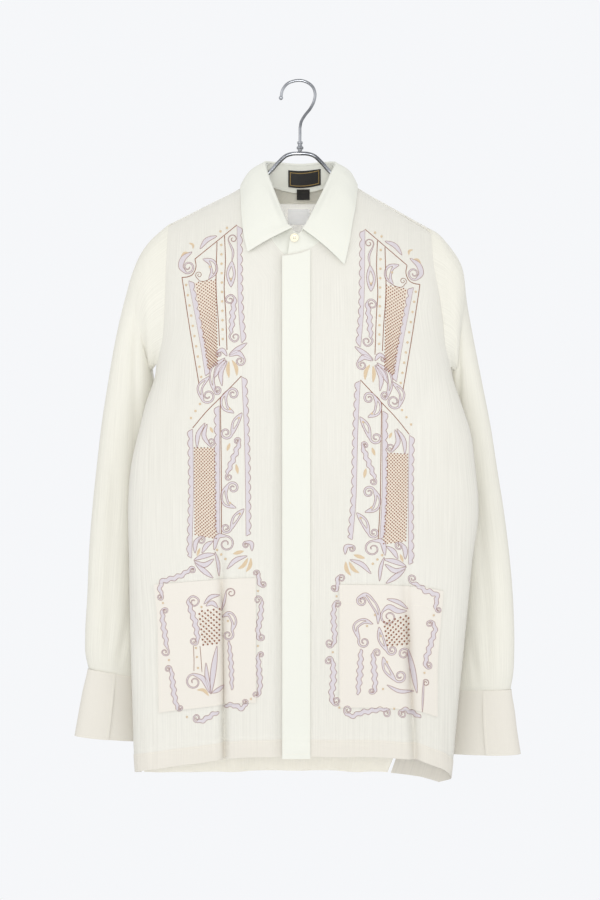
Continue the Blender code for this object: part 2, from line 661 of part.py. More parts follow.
def yoke(back_seam):
    """The yoke over both shoulders: columns run from the neck out to the armholes and down to the
    back's seam, whose points are the back's own."""
    _, middle, _ = neck_stations()
    neck = neck_seam(middle)
    neck_depth = ridge(neck[:, 0]) - neck[:, 2]
    neck_depth[0] *= -1
    neck_depth[-1] *= -1
    outer_x, outer_depth = [], []
    arms = {}
    for side in (-1, 1):
        _, _, shares = armhole_shares(side)
        _, _, deep = armhole(side, 0.0)
        shares = np.concatenate([[YOKE_FRONT[side] / deep], shares])
        out, z, _ = armhole(side, shares)
        depth = ridge(side * out) - z
        depth[0] *= -1
        arms[side] = (side * out, depth)
    seam_x = back_seam[1:-1, 0]
    seam_depth = ridge(seam_x) - back_seam[1:-1, 2] - SEAM
    outer_x = np.concatenate([arms[-1][0], seam_x, arms[1][0][::-1]])
    outer_depth = np.concatenate([arms[-1][1], seam_depth, arms[1][1][::-1]])
    count = len(outer_x)
    place = np.linspace(0, 1, count)
    arm_share = (len(YOKE_ARM_STEPS)) / (count - 1)
    station = np.linspace(0, 1, len(neck))
    knots_in = np.array([0, 1 / (count - 1), arm_share, 1 - arm_share, 1 - 1 / (count - 1), 1])
    knots_out = np.array([0, station[1], station[3], station[-4], station[-2], 1])
    warped = np.interp(place, knots_in, knots_out)
    inner_x = np.interp(warped, station, neck[:, 0])
    inner_depth = np.interp(warped, station, neck_depth)
    share = np.linspace(0, 1, YOKE_ROWS + 1)[:, None]
    x = inner_x + (outer_x - inner_x) * share
    depth = inner_depth + (outer_depth - inner_depth) * share
    points = yoke_point(x, depth)
    down = yoke_point(x, depth + 0.0002) - yoke_point(x, depth - 0.0002)
    right = yoke_point(x + 0.0002, depth) - yoke_point(x - 0.0002, depth)
    normals = unit(np.cross(unit(right), unit(down)))
    wall("yoke", points, points - normals * CLOTH, DOUBLE)


def ring(row, row_before, row_after, side, angles, turn=1.0):
    """Points round one ring; angle 0 is its outer end and 90 degrees its front.  turn is how much
    its short axis turns square to the sleeve's run instead of straight to the front."""
    ends = [np.array([(side * r[0], r[1], r[2]), (side * r[3], r[4], r[5])]) for r in
            (row_before, row, row_after)]
    outer, inner = ends[1]
    along = ends[2].mean(axis=0) - ends[0].mean(axis=0)
    long_axis = (outer - inner) / 2
    to_front = unit(np.cross(along, long_axis))
    if to_front[1] > 0:
        to_front = -to_front
    to_front = unit(turn * to_front + (1 - turn) * np.array([0.0, -1.0, 0.0]))
    centre = (outer + inner) / 2
    return (centre + np.cos(angles)[:, None] * long_axis
            + np.sin(angles)[:, None] * row[6] * to_front)


def sleeve_angles(side):
    front_shares, back_shares, yoke_shares = armhole_shares(side)
    faces = (["front"] * len(front_shares) + ["back"] * (len(back_shares) - 1)
             + ["back"] * (len(yoke_shares) - 2))
    shares = np.concatenate([front_shares[::-1], back_shares[1:], yoke_shares[1:-1][::-1]])
    faces = ["ridge"] + faces
    shares = np.concatenate([[0.0], shares])
    turn = np.arccos(np.clip(1 - 2 * shares, -1, 1))
    angles = np.array([-t if face == "back" else t for t, face in zip(turn, faces)])
    return shares, faces, angles


def sleeve(side):
    rows = SLEEVE[side]
    shares, faces, angles = sleeve_angles(side)
    first = np.array([armhole_point(side, "front" if face == "ridge" else face, share)
                      for share, face in zip(shares, faces)])
    first[:, 0] += side * (SEAM + 0.0011 * shares ** 2)
    rings = [first]
    for i, row in enumerate(rows):
        before = rows[max(i - 1, 0)]
        after = rows[min(i + 1, len(rows) - 1)]
        rings.append(ring(row, before, after, side, angles, min(1.0, (i / 9) ** 2)))
    points = np.array(rings)
    normals = grid_normals(points, closed=True)
    middle = points.mean(axis=1, keepdims=True)
    normals *= np.sign(np.sum(normals * (points - middle), axis=(1, 2), keepdims=True))
    wall("sleeve_right" if side < 0 else "sleeve_left", points, points - normals * CLOTH, SHEER,
         closed=True)


def cuff(side):
    """A cuff wrapped once round the wrist, whose front end laps over its back end."""
    rows = CUFF[side]
    angles = np.linspace(CUFF_START, CUFF_END, 30)
    rings = []
    for i, row in enumerate(rows):
        before = rows[max(i - 1, 0)]
        after = rows[min(i + 1, len(rows) - 1)]
        rings.append(ring(row, before, after, side, angles))
    points = np.array(rings)
    normals = grid_normals(points)
    middle = points.mean(axis=1, keepdims=True)
    normals *= np.sign(np.sum(normals * (points - middle), axis=(1, 2), keepdims=True))
    lift = 0.0024 * step((angles - math.radians(290)) / math.radians(70))
    points = points + normals * lift[None, :, None]
    wall("cuff_right" if side < 0 else "cuff_left", points, points - normals * CLOTH, DOUBLE)


def band_grid():
    """The collar band between its seam and the fold line, with the distances of its columns."""
    base, top, _, lengths = neck_lines()
    left, middle, right = neck_stations()
    at = np.concatenate([left, middle[1:-1], right])
    at = at[at < lengths[-1] - BAND_END_INSET]
    at = np.concatenate([at, [lengths[-1] - BAND_END_INSET]])
    seam = neck_seam(at)
    fold = hermite(lengths, top, at)
    up = unit(fold - seam)
    rows = [seam + up * 3 * SEAM, seam + (fold - seam) * 0.35, seam + (fold - seam) * 0.7, fold]
    points = np.array(rows)
    outward = -grid_normals(points)
    step_back = under_step(points) * (at < lengths[LEFT_SIDE])[None, :, None]
    return points + step_back, outward, at, lengths


def collar_band():
    points, outward, _, _ = band_grid()
    wall("collar_band", points, points - outward * COLLAR_CLOTH, DOUBLE)
    return points - outward * COLLAR_CLOTH, -outward


def off_body(points):
    """Moves points out until they clear the body's skin."""
    moved = points.copy()
    for index in np.ndindex(points.shape[:2]):
        x, y, z = points[index]
        below = float(ridge(x)) - z
        if below <= 0:
            moved[index][2] = max(z, float(ridge(x)) + COLLAR_OFF_BODY) if abs(x) > NECK_X else z
            continue
        if y < 0:
            moved[index][1] = min(y, float(face_point("front", x, z)[1]) - COLLAR_OFF_BODY)
        else:
            moved[index][1] = max(y, float(face_point("back", x, z)[1]) + COLLAR_OFF_BODY)
    return moved


def collar():
    """The collar's fall: up from the band, over the fold and down outside it to its edge."""
    _, top, edge, lengths = neck_lines()
    at = np.concatenate([np.linspace(lengths[1], lengths[LEFT_SIDE], 9),
                         np.linspace(lengths[LEFT_SIDE], lengths[RIGHT_SIDE], 9)[1:],
                         np.linspace(lengths[RIGHT_SIDE], lengths[-2], 9)[1:]])
    fold = hermite(lengths, top, at)
    brim = hermite(lengths[1:-1], edge, at)
    along = unit(np.gradient(fold, axis=0))
    up = np.array([0.0, 0.0, 1.0])
    outward = unit(np.cross(up, along))
    rows = [fold + up * rise + outward * out for rise, out in COLLAR_ROLL]
    bend = rows[-1]
    lie = unit(np.cross(along, unit(brim - bend)))
    lie *= np.sign(np.sum(lie * outward, axis=1, keepdims=True))
    for share in (0.12, 0.26, 0.42, 0.6, 0.8, 1.0):
        rows.append(bend + (brim - bend) * share + lie * COLLAR_BULGE * math.sin(math.pi * share))
    points = np.array(rows)
    points[len(COLLAR_ROLL):] = off_body(points[len(COLLAR_ROLL):])
    normals = grid_normals(points)
    normals *= np.sign(np.sum(normals[-3] * lie))
    wall("collar", points, points - normals * COLLAR_CLOTH, DOUBLE)


def trim_on(name, grid, outward, rows, columns, look, lift=SEAM, thickness=TRIM):
    """A label lying on a grid, between two shares of its rows and two of its columns."""
    def pick(values, row_share, column_share):
        i, j = row_share * (values.shape[0] - 1), column_share * (values.shape[1] - 1)
        a, b = min(int(i), values.shape[0] - 2), min(int(j), values.shape[1] - 2)
        s, t = i - a, j - b
        return ((1 - s) * ((1 - t) * values[a, b] + t * values[a, b + 1])
                + s * ((1 - t) * values[a + 1, b] + t * values[a + 1, b + 1]))
    count = values_between(columns, grid.shape[1])
    points = np.array([[pick(grid, r, c) for c in count] for r in np.linspace(*rows, 3)])
    normals = np.array([[unit(pick(outward, r, c)) for c in count] for r in np.linspace(*rows, 3)])
    near = points + normals * lift
    wall(name, near + normals * thickness, near, look)


def values_between(ends, size):
    """The two ends and every grid column between them."""
    inside = [j / (size - 1) for j in range(size) if ends[0] + 1e-3 < j / (size - 1) < ends[1] - 1e-3]
    return [ends[0], *inside, ends[1]]


def labels(inner, inward):
    """The plain black neck label and its size tag, and the white care label below."""
    middle = inner[:, :, 0]
    columns = inner.shape[1]
    back = range(NECK_ROWS + 1, columns - NECK_ROWS)
    row = inner[1]
    def column_at(x):
        xs = [row[j][0] for j in back]
        place = np.interp(x, xs, list(back))
        return place / (columns - 1)
    trim_on("neck_label", inner, inward, (0.10, 0.78), (column_at(-0.0145), column_at(0.0255)), BLACK)
    trim_panel("size_tag", (-0.0040, 0.0120), (-0.1285, -0.1385), BLACK)
    trim_panel("care_label", (-0.0150, 0.0120), (-0.1490, -0.1680), WHITE)


def trim_panel(name, x_ends, z_ends, look):
    """A label hanging inside the back, off the yoke's inner face."""
    x = np.linspace(*x_ends, 4)[None, :]
    z = np.linspace(z_ends[1], z_ends[0], 4)[:, None]
    points = face_point("back", x, z)
    points[..., 1] -= CLOTH + 0.0012
    near = points.copy()
    near[..., 1] -= TRIM
    wall(name, near, points, look)


def button():
    """The band's button, a low disc with a hollow face."""
    points, outward, _, _ = band_grid()
    place = np.array([-0.0066, 0.0, -0.1986])
    near = np.abs(points[:, -4:, 0] - place[0]) < 0.012
    y = float(points[:, -4:, 1][near].min()) - SEAM
    profile = ((0.0, 0.0), (0.0046, 0.0), (0.0052, 0.0007), (0.0052, 0.0015), (0.0046, 0.0020),
               (0.0036, 0.0020), (0.0030, 0.0014), (0.0, 0.0014))
    turned("collar_button", [(r, h) for r, h in profile], PEARL,
           lambda r, h, c, s: (place[0] + r * c, y - h, place[2] + r * s), 16)


def turned(name, profile, look, place, count=16):
    """A solid of revolution: its profile starts and ends on the axis."""
    data = bmesh.new()
    loops = []
    for radius, height in profile:
        if radius < 1e-9:
            loops.append([data.verts.new(place(0, height, 1, 0))])
            continue
        turns = [2 * math.pi * i / count for i in range(count)]
        loops.append([data.verts.new(place(radius, height, math.cos(t), math.sin(t))) for t in turns])
    for low, high in zip(loops, loops[1:]):
        for i in range(count):
            k = (i + 1) % count
            corners = [low[i % len(low)], low[k % len(low)], high[k % len(high)], high[i % len(high)]]
            data.faces.new(list(dict.fromkeys(corners)))
    finish(name, data, look)


def wire(name, points, radius, look):
    """A round wire along a line of points, with capped ends."""
    points = np.array(points)
    tangent = unit(np.gradient(points, axis=0))
    side_axis = np.tile(np.array([0.0, 1.0, 0.0]), (len(points), 1))
    other = unit(np.cross(tangent, side_axis))
    data = bmesh.new()
    loops = []
    turns = [2 * math.pi * i / 12 for i in range(12)]
    for point, a, b in zip(points, side_axis, other):
        loops.append([data.verts.new(point + radius * (math.cos(t) * a + math.sin(t) * b)) for t in turns])
    for low, high in zip(loops, loops[1:]):
        for i in range(12):
            k = (i + 1) % 12
            data.faces.new((low[i], low[k], high[k], high[i]))
    data.faces.new(loops[0])
    data.faces.new(loops[-1])
    finish(name, data, look)


def hanger():
    hook = np.array([(x, 0.0, z) for x, z in HOOK])
    lengths = measured(hook)
    bend = hermite(lengths[:-1], hook[:-1], np.linspace(0, lengths[-2], 27))
    hook_points = np.concatenate([bend, hook[-1:]])
    hook_points[:, 2] -= 0.0019 - HOOK_WIRE
    wire("hanger_hook", hook_points, HOOK_WIRE, CHROME)
    turned("hanger_ferrule", FERRULE, CHROME, lambda r, h, c, s: (r * c, r * s, h), 16)
    arms = []
    for side in (-1, 1):
        arm = [(side * x, 0.0, z) for x, z in ARCH[1:-1]]
        for x in np.linspace(0.050, 0.148, 7):
            arm.append((side * x, 0.0, float(ridge(side * x)) - RIDGE_ABOVE_WIRE))
        arm += [(side * x, 0.0, z) for x, z in ARM_TIP[side]]
        arms.append(arm)
    line = np.array(arms[0][::-1] + [(0.0, 0.0, ARCH[0][1])] + arms[1])
    lengths = measured(line)
    wire("hanger_arms", hermite(lengths, line, np.linspace(0, lengths[-1], 44)), ARM_WIRE, CHROME)


def main():
    for found in list(bpy.data.objects):
        bpy.data.objects.remove(found)
    hanger()
    for side in (-1, 1):
        points, normals = front(side)
        pocket(side, points, normals)
        sleeve(side)
        cuff(side)
    placket()
    yoke(back())
    inner, inward = collar_band()
    collar()
    labels(inner, inward)
    button()


main()
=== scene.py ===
"""Looks of a barong tagalog shirt on a chrome wire hanger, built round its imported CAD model.

Metres, +Z up, the shirt's front faces -Y.  A side is -1 for the half at -X and +1 for the half at
+X.  The pieces follow in the order in which the shirt is hung up and sewn together.
"""

import math

import bmesh
import bpy
import numpy as np
from mathutils import Matrix, Vector
from mathutils.bvhtree import BVHTree


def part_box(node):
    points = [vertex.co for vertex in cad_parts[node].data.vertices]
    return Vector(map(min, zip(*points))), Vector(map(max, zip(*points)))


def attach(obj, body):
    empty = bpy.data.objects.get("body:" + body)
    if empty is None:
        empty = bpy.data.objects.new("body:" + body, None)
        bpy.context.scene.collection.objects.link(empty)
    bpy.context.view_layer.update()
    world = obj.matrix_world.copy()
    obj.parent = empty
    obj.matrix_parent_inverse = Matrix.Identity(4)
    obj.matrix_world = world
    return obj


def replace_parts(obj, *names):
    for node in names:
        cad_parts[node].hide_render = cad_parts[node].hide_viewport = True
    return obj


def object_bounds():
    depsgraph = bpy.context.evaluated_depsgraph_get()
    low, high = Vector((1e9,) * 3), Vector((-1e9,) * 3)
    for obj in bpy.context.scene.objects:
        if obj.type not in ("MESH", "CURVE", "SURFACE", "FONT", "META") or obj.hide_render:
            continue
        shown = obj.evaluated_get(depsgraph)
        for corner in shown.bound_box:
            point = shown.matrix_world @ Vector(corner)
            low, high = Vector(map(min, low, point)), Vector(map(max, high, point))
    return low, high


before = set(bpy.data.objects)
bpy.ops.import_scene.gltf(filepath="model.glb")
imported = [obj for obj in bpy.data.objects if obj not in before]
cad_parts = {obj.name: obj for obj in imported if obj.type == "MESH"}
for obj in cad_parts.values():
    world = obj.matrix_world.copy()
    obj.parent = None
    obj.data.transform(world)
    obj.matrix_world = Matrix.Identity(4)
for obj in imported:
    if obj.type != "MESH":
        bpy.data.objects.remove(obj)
cad_low, cad_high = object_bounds()

# The view.  The photograph was taken square on from a little under two metres, with the camera
# level with the middle of the shirt; one of its pixels is 1.22 mm there.
CAMERA_DISTANCE = 1.9
CAMERA_HEIGHT = -0.449
PIXEL = 0.00122
SENSOR = 36.0
PHOTO_HEIGHT = 900
camera = bpy.data.objects.new("camera", bpy.data.cameras.new("camera"))
camera.location = (0, -CAMERA_DISTANCE, CAMERA_HEIGHT)
camera.rotation_euler = (math.pi / 2, 0, 0)
camera.data.sensor_width = SENSOR
camera.data.sensor_height = SENSOR
camera.data.lens = SENSOR * CAMERA_DISTANCE / (PHOTO_HEIGHT * PIXEL)
camera.data.clip_end = 50
bpy.context.scene.collection.objects.link(camera)
bpy.context.scene.camera = camera

# The hanger.  A bent steel wire with a swivel hook, a turned ferrule between them, all chromed.
# The hook ends in a small ball, so that it doesn't scratch; the arms carry the shirt's shoulders.


def mm(rows):
    """A table of sizes in millimetres, or one table for each side or face, in metres."""
    if isinstance(rows, dict):
        return {key: mm(found) for key, found in rows.items()}
    return np.array(rows) / 1000


HOOK_WIRE = 0.0018
ARM_WIRE = 0.0024
HOOK_BALL = 0.0027
HOOK = mm((
    (-23.2, -19.5), (-21.4, -10), (-15.5, -2.2), (-7, 1.3),
    (1.1, 1.9), (9.5, -0.8), (16, -6.6), (18.4, -14),
    (17.2, -23), (12.8, -32), (5.8, -41), (1.5, -48.5),
    (0, -56), (0, -83.4),
))
FERRULE = mm((
    (0, -84.6), (2.3, -84.6), (2.6, -84.3), (2.6, -82.2), (3.8, -82.2),
    (4.2, -81.8), (4.2, -79.4), (3.8, -79), (2.6, -79), (2.6, -75.7),
    (3.1, -75.7), (3.4, -75.4), (3.4, -73.1), (3, -72.7), (1.9, -72.7),
))
ARCH = mm(((9, -87.6), (16.5, -89.8), (26, -98), (37.8, -110.8)))
ARCH_TOP = -0.0873
ARM_TIP = mm({
    -1: ((160, -179.7), (171.5, -190.5), (182.5, -203), (188.5, -212)),
    1: ((160, -185.7), (171, -196.5), (181, -209), (186.5, -218.5)),
})
RIDGE = mm({
    -1: ((50, -114.2), (71.7, -129), (110, -148.7), (158, -172.9), (200, -194)),
    1: ((50, -114.2), (70.5, -129), (110, -151.8), (159, -179.5), (200, -203)),
})
NECK_X = 0.050
NECK_RISE = 0.022
RIDGE_ABOVE_WIRE = 0.0052


class Wire:
    """One output of a material's nodes.  Arithmetic on it adds Math nodes."""

    def __init__(self, look, socket):
        self.look = look
        self.socket = socket

    def math(self, operation, first, second=0.0):
        return self.look.node("ShaderNodeMath", {"operation": operation}, {0: first, 1: second})

    def least(self, other):
        return self.math("MINIMUM", self, other)

    def __add__(self, other):
        return self.math("ADD", self, other)

    def __sub__(self, other):
        return self.math("SUBTRACT", self, other)

    def __rsub__(self, other):
        return self.math("SUBTRACT", other, self)

    def __mul__(self, other):
        return self.math("MULTIPLY", self, other)

    def __gt__(self, other):
        return self.math("GREATER_THAN", self, other)

    def __lt__(self, other):
        return self.math("LESS_THAN", self, other)

    __radd__ = __add__
    __rmul__ = __mul__

    def sine(self):
        return self.math("SINE", self)

    def clipped(self):
        return self.math("MAXIMUM", self, 0.0).least(1.0)


class Look:
    """A material made of nodes round one Principled shader."""

    def __init__(self, name, **constants):
        self.material = bpy.data.materials.new(name)
        self.material.use_nodes = True
        self.tree = self.material.node_tree
        self.shader = self.tree.nodes["Principled BSDF"]
        for socket, value in constants.items():
            self.set(socket.replace("_", " ").title().replace("Ior", "IOR"), value)

    def node(self, kind, settings, inputs, output=0):
        made = self.tree.nodes.new(kind)
        for key, value in settings.items():
            setattr(made, key, value)
        for key, value in inputs.items():
            self.feed(made.inputs[key], value)
        return Wire(self, made.outputs[output])

    def feed(self, socket, value):
        if isinstance(value, Wire):
            self.tree.links.new(value.socket, socket)
        else:
            socket.default_value = value

    def place(self, scale, uv=None):
        """Coordinates of the object, or of one of its UV maps, in metres times scale."""
        if uv:
            found = self.node("ShaderNodeUVMap", {"uv_map": uv}, {})
        else:
            found = self.node("ShaderNodeTexCoord", {}, {}, 3)
        return self.node("ShaderNodeMapping", {}, {0: found, 3: scale})

    def noise(self, place, detail=2.0):
        return self.node("ShaderNodeTexNoise", {}, {"Vector": place, "Scale": 1.0, "Detail": detail})

    def parts(self, place):
        """The first two coordinates of a place."""
        first = self.node("ShaderNodeSeparateXYZ", {}, {0: place})
        return first, Wire(self, first.socket.node.outputs[1])

    def blend(self, factor, first, second):
        """A mix of two colours, each a wire or as it shows, 0 to 255."""
        first, second = (c if isinstance(c, Wire) else srgb(*c) for c in (first, second))
        return self.node("ShaderNodeMix", {"data_type": "RGBA"}, {0: factor, 6: first, 7: second}, 2)

    def set(self, name, value):
        self.feed(self.shader.inputs[name], value)

    def finish(self, colour, roughness, height, strength, distance):
        """Sets the colour, the roughness and a bump by height, and gives the material."""
        self.set("Base Color", colour)
        self.set("Roughness", roughness)
        sizes = {"Strength": strength, "Distance": distance, "Height": height}
        self.set("Normal", self.node("ShaderNodeBump", {}, sizes))
        return self.material


def srgb(red, green, blue):
    """A colour as it shows, 0 to 255, turned into what a shader reads."""
    shares = [value / 255 for value in (red, green, blue)]
    return tuple(s / 12.92 if s <= 0.04045 else ((s + 0.055) / 1.055) ** 2.4 for s in shares) + (1.0,)


def chrome_look():
    look = Look("chrome", metallic=1.0)
    haze = look.noise(look.place((260, 260, 260)), 3.0)
    painted_reflection = look.noise(look.place((24, 24, 24)), 4.0)
    # Painted reflection: the base colour runs in dark and light patches along the wire, standing in for dark
    # surroundings mirrored in the chrome.
    colour = look.blend((3 * painted_reflection - 1).clipped(), (76, 78, 82), (190, 192, 196))
    return look.finish(colour, 0.09 + 0.10 * haze, haze, 0.08, 0.0003)


CHROME = chrome_look()


SHARP = 50


def new_piece(name, data, material, sharp=SHARP):
    """Makes a bmesh an object of the shirt, riding on its one body."""
    mesh = bpy.data.meshes.new(name)
    data.to_mesh(mesh)
    data.free()
    mesh.materials.append(material)
    mesh.shade_smooth()
    mesh.set_sharp_from_angle(angle=math.radians(sharp))
    made = bpy.data.objects.new(name, mesh)
    bpy.context.scene.collection.objects.link(made)
    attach(made, "root")
    return made


def hermite(knots, values, at):
    """A smooth curve through the values at the knots, read at the given places."""
    knots = np.asarray(knots, float)
    values = np.asarray(values, float)
    at = np.clip(np.asarray(at, float), knots[0], knots[-1])
    slopes = np.gradient(values, knots, axis=0)
    i = np.clip(np.searchsorted(knots, at, side="right") - 1, 0, len(knots) - 2)
    width = knots[i + 1] - knots[i]
    t = (at - knots[i]) / width
    extra = (None,) * (values.ndim - 1)
    width = width[(..., *extra)]
    t = t[(..., *extra)]
    start = (1 + 2 * t) * (1 - t) ** 2 * values[i]
    end = t * t * (3 - 2 * t) * values[i + 1]
    return start + end + t * (1 - t) * width * ((1 - t) * slopes[i] - t * slopes[i + 1])


def table(rows, at, column=1):
    return hermite([row[0] for row in rows], [row[column] for row in rows], at)


def unit(vectors):
    length = np.linalg.norm(vectors, axis=-1, keepdims=True)
    return vectors / np.maximum(length, 1e-12)


def measured(points):
    """Distance along a line of points."""
    return np.concatenate([[0], np.cumsum(np.linalg.norm(np.diff(points, axis=0), axis=1))])


def ridge(x):
    """Height of the shoulder ridge.  Across the neck it is the line the cloth would take."""
    x = np.asarray(x, float)
    out = np.maximum(np.abs(x), NECK_X)
    rise = NECK_RISE * np.clip(1 - (x / NECK_X) ** 2, 0, 1)
    return np.where(x < 0, table(RIDGE[-1], out), table(RIDGE[1], out)) + rise


def point_grid(data, points):
    """Adds a grid of faces through rows and columns of points."""
    rows, columns = points.shape[:2]
    made = bmesh.ops.create_grid(data, x_segments=columns - 1, y_segments=rows - 1, size=1)["verts"]
    for vert, point in zip(made, points.reshape(-1, 3)):
        vert.co = point
    return made


def round_piece(name, rings, material, sharp=SHARP):
    """A round form through rings of points, each of which ends where it starts."""
    data = bmesh.new()
    point_grid(data, rings)
    bmesh.ops.remove_doubles(data, verts=data.verts, dist=2e-6)
    bmesh.ops.recalc_face_normals(data, faces=data.faces)
    return new_piece(name, data, material, sharp)


def turned(name, profile, place, material, turns=48):
    """A solid of revolution.  Its profile of (radius, height) stands on the place's matrix."""
    angles = np.linspace(0, 2 * math.pi, turns + 1)
    rings = [[place @ Vector((max(radius, 1e-5) * math.cos(t), max(radius, 1e-5) * math.sin(t), height))
              for t in angles] for radius, height in profile]
    return round_piece(name, np.array(rings), material, 35)


def swept(name, line, radius):
    """A round wire along a line in the hanger's plane, rounded off at both ends."""
    line = np.array(line)
    run = measured(line)
    near_end = np.clip(np.minimum(run, run[-1] - run) / radius, 0, 1)
    girth = radius * np.sqrt(1 - 0.98 * (1 - near_end) ** 2)[:, None, None]
    beside = np.cross(unit(np.gradient(line, axis=0)), (0.0, 1.0, 0.0))[:, None]
    turns = np.linspace(0, 2 * math.pi, 25)[None, :, None]
    around = np.cos(turns) * np.array([0.0, 1.0, 0.0]) + np.sin(turns) * beside
    return round_piece(name, line[:, None] + girth * around, CHROME)


def hook_line():
    bend = np.array([(x, 0.0, z - 0.0001) for x, z in HOOK])
    lengths = measured(bend)
    fine = hermite(lengths[:-1], bend[:-1], np.linspace(0, lengths[-2], 110))
    return np.concatenate([fine, fine[-1:] + (bend[-1] - fine[-1]) * np.linspace(0.25, 1, 4)[:, None]])


def arms_line():
    """The bent wire from one arm's tip over the arch in the neck to the other arm's tip."""
    arms = []
    for side in (-1, 1):
        arm = [(side * x, 0.0, z) for x, z in ARCH]
        for x in np.linspace(0.050, 0.148, 7):
            arm.append((side * x, 0.0, float(ridge(side * x)) - RIDGE_ABOVE_WIRE))
        arms.append(arm + [(side * x, 0.0, z) for x, z in ARM_TIP[side]])
    line = np.array(arms[0][::-1] + [(0.0, 0.0, ARCH_TOP)] + arms[1])
    lengths = measured(line)
    return hermite(lengths, line, np.linspace(0, lengths[-1], 260))


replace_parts(swept("hook_wire", hook_line(), HOOK_WIRE), "hanger_hook")
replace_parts(swept("arms_wire", arms_line(), ARM_WIRE), "hanger_arms")
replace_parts(turned("swivel_ferrule", FERRULE, Matrix(), CHROME), "hanger_ferrule")
data = bmesh.new()
bmesh.ops.create_uvsphere(data, u_segments=24, v_segments=14, radius=HOOK_BALL,
                          matrix=Matrix.Translation((HOOK[0][0], 0, HOOK[0][1])))
new_piece("hook_ball", data, CHROME)

# The back.  One piece of the sheer weave, which hangs from the yoke's seam in a few soft folds.
# It is cut wider than the fronts, its side seams lie a little behind, and its hem hangs lowest.
CLOTH = 0.0005
WEAVE_PITCH = 0.0007
CAD_CLOTH = 0.0012
SEAM = 0.0003
FOLDED_EDGE = 0.0006
FINE = 4
ROUND = 2.6
FRONT_FALL = 0.110
BACK_FALL = 0.075
FALL_POWER = 0.68
BODY = mm((
    # z, left, right, front, back, side_y
    (-900, 192, 172, 50, 36, -16),
    (-860, 195, 177, 50, 36, -17),
    (-800, 200, 184, 51, 37, -19),
    (-725, 202.5, 191, 53, 38, -22),
    (-616, 205, 202, 56, 40, -26),
    (-560, 205.5, 207.5, 57, 42, -28),
    (-510, 206.5, 214.3, 59, 43, -29),
    (-460, 202.5, 210.3, 60, 44, -29),
    (-420, 193, 204.5, 61, 45, -27),
    (-390, 185.6, 194.5, 62, 46, -22),
    (-360, 176, 185, 62, 47, -12),
    (-330, 174, 181.5, 62, 47, -6),
    (-250, 177, 183, 62, 47, -2),
    (-180, 187, 189, 62, 47, 0),
    (-90, 190, 190, 62, 47, 0),
))
ARMHOLE = {
    -1: ((0.0, 0.1600), (0.3, 0.1612), (0.6, 0.1628), (0.85, 0.1665), (1.0, 0.1748)),
    1: ((0.0, 0.1590), (0.3, 0.1612), (0.5, 0.1675), (0.7, 0.1725), (0.88, 0.1765), (1.0, 0.1832)),
}
UNDERARM = {-1: -0.3470, 1: -0.3500}
SAG = mm({
    -1: ((0, 0), (70, 1), (110, 5), (150, 11), (190, 18), (225, 26),
         (260, 31), (330, 34), (500, 34)),
    1: ((0, 0), (100, 1), (150, 6), (180, 18), (205, 34), (225, 41),
        (250, 37), (300, 34), (500, 34)),
})
HEM = -0.8130
HEM_TOP = -0.7925
POCKET_LEVELS = {-1: (-0.7480, -0.6000), 1: (-0.7540, -0.6080)}
SEAM_BEHIND = {-1: (0.000, 0.016), 1: (0.000, 0.088)}
VENT_TOP = -0.7450
VENT_GAP = 0.0036
YOKE_FRONT = {-1: 0.003, 1: 0.006}
YOKE_ARM_DEPTH = 0.058
YOKE_BACK = -0.2050
FRONT_ARM_STEPS = 10
BACK_ARM_STEPS = 6
SAMPLES = 300
BACK_SPREAD = (0.0, 0.025, 0.06, 0.11, 0.17, 0.25, 0.34, 0.44, 0.55, 0.66, 0.77, 0.88, 1.0)
FOLDS = mm({
    # x_top, z_top, x_foot, z_foot, depth, reach, lean, fade_top, fade_foot
    "front": (
        (-96, -500, -92, -900, 11, 6.8, 6, 160, 10),
        (122, -530, 145, -900, 13, 7.2, -6.2, 180, 10),
        (-148, -560, -160, -900, 3.5, 18, 0, 200, 10),
        (85, -640, 70, -900, 3, 16, 0, 150, 10),
        (168, -340, 120, -460, 3.5, 13, 0, 40, 70),
        (-145, -330, -170, -480, 3.5, 12, 0, 50, 80),
        (-132, -210, -145, -330, 3, 13, 0, 50, 60),
        (128, -210, 142, -330, 3, 13, 0, 50, 60),
    ),
    "back": (
        (-60, -330, -85, -900, 8, 17, 0, 200, 10),
        (55, -300, 70, -900, 9, 17, 0, 220, 10),
        (-125, -400, -135, -900, 5, 17, 0, 200, 10),
        (0, -420, -5, -900, 4.5, 19, 0, 200, 10),
    ),
})


def step(t):
    """0 below 0, 1 above 1, and a smooth rise between."""
    t = np.clip(t, 0, 1)
    return t * t * (3 - 2 * t)


def finer(values, count=FINE):
    """The values with count - 1 even places added in each gap."""
    values = np.asarray(values, float)
    return np.interp(np.linspace(0, len(values) - 1, (len(values) - 1) * count + 1),
                     np.arange(len(values)), values)


def read_line(points, lengths, at):
    return np.stack([np.interp(at, lengths, points[:, k]) for k in range(3)], axis=-1)


def half_width(side, z):
    return table(BODY, z, 1 if side < 0 else 2)


def fall(x, z, length):
    """0 on the ridge, growing to 1 where the cloth hangs free below it."""
    below = np.clip((ridge(x) - z) / length, 0, 1)
    return np.sin(0.5 * math.pi * below) ** FALL_POWER


def fold_shift(face, x, z):
    """How far the folds move the front or the back at a place: (x, y)."""
    inward = 1.0 if face == "front" else -1.0
    dx = np.zeros_like(x)
    dy = np.zeros_like(x)
    for x_top, z_top, x_foot, z_foot, depth, reach, lean, fade_top, fade_foot in FOLDS[face]:
        middle = x_top + (x_foot - x_top) * (z_top - z) / (z_top - z_foot)
        strength = step((z_top - z) / fade_top) * step((z - z_foot) / fade_foot)
        off = (x - middle) / reach
        dy = dy + inward * strength * depth * np.exp(-off * off)
        beside = off + math.copysign(1.1, lean)
        dx = dx + strength * lean * np.exp(-beside * beside / 1.6)
    return dx, dy


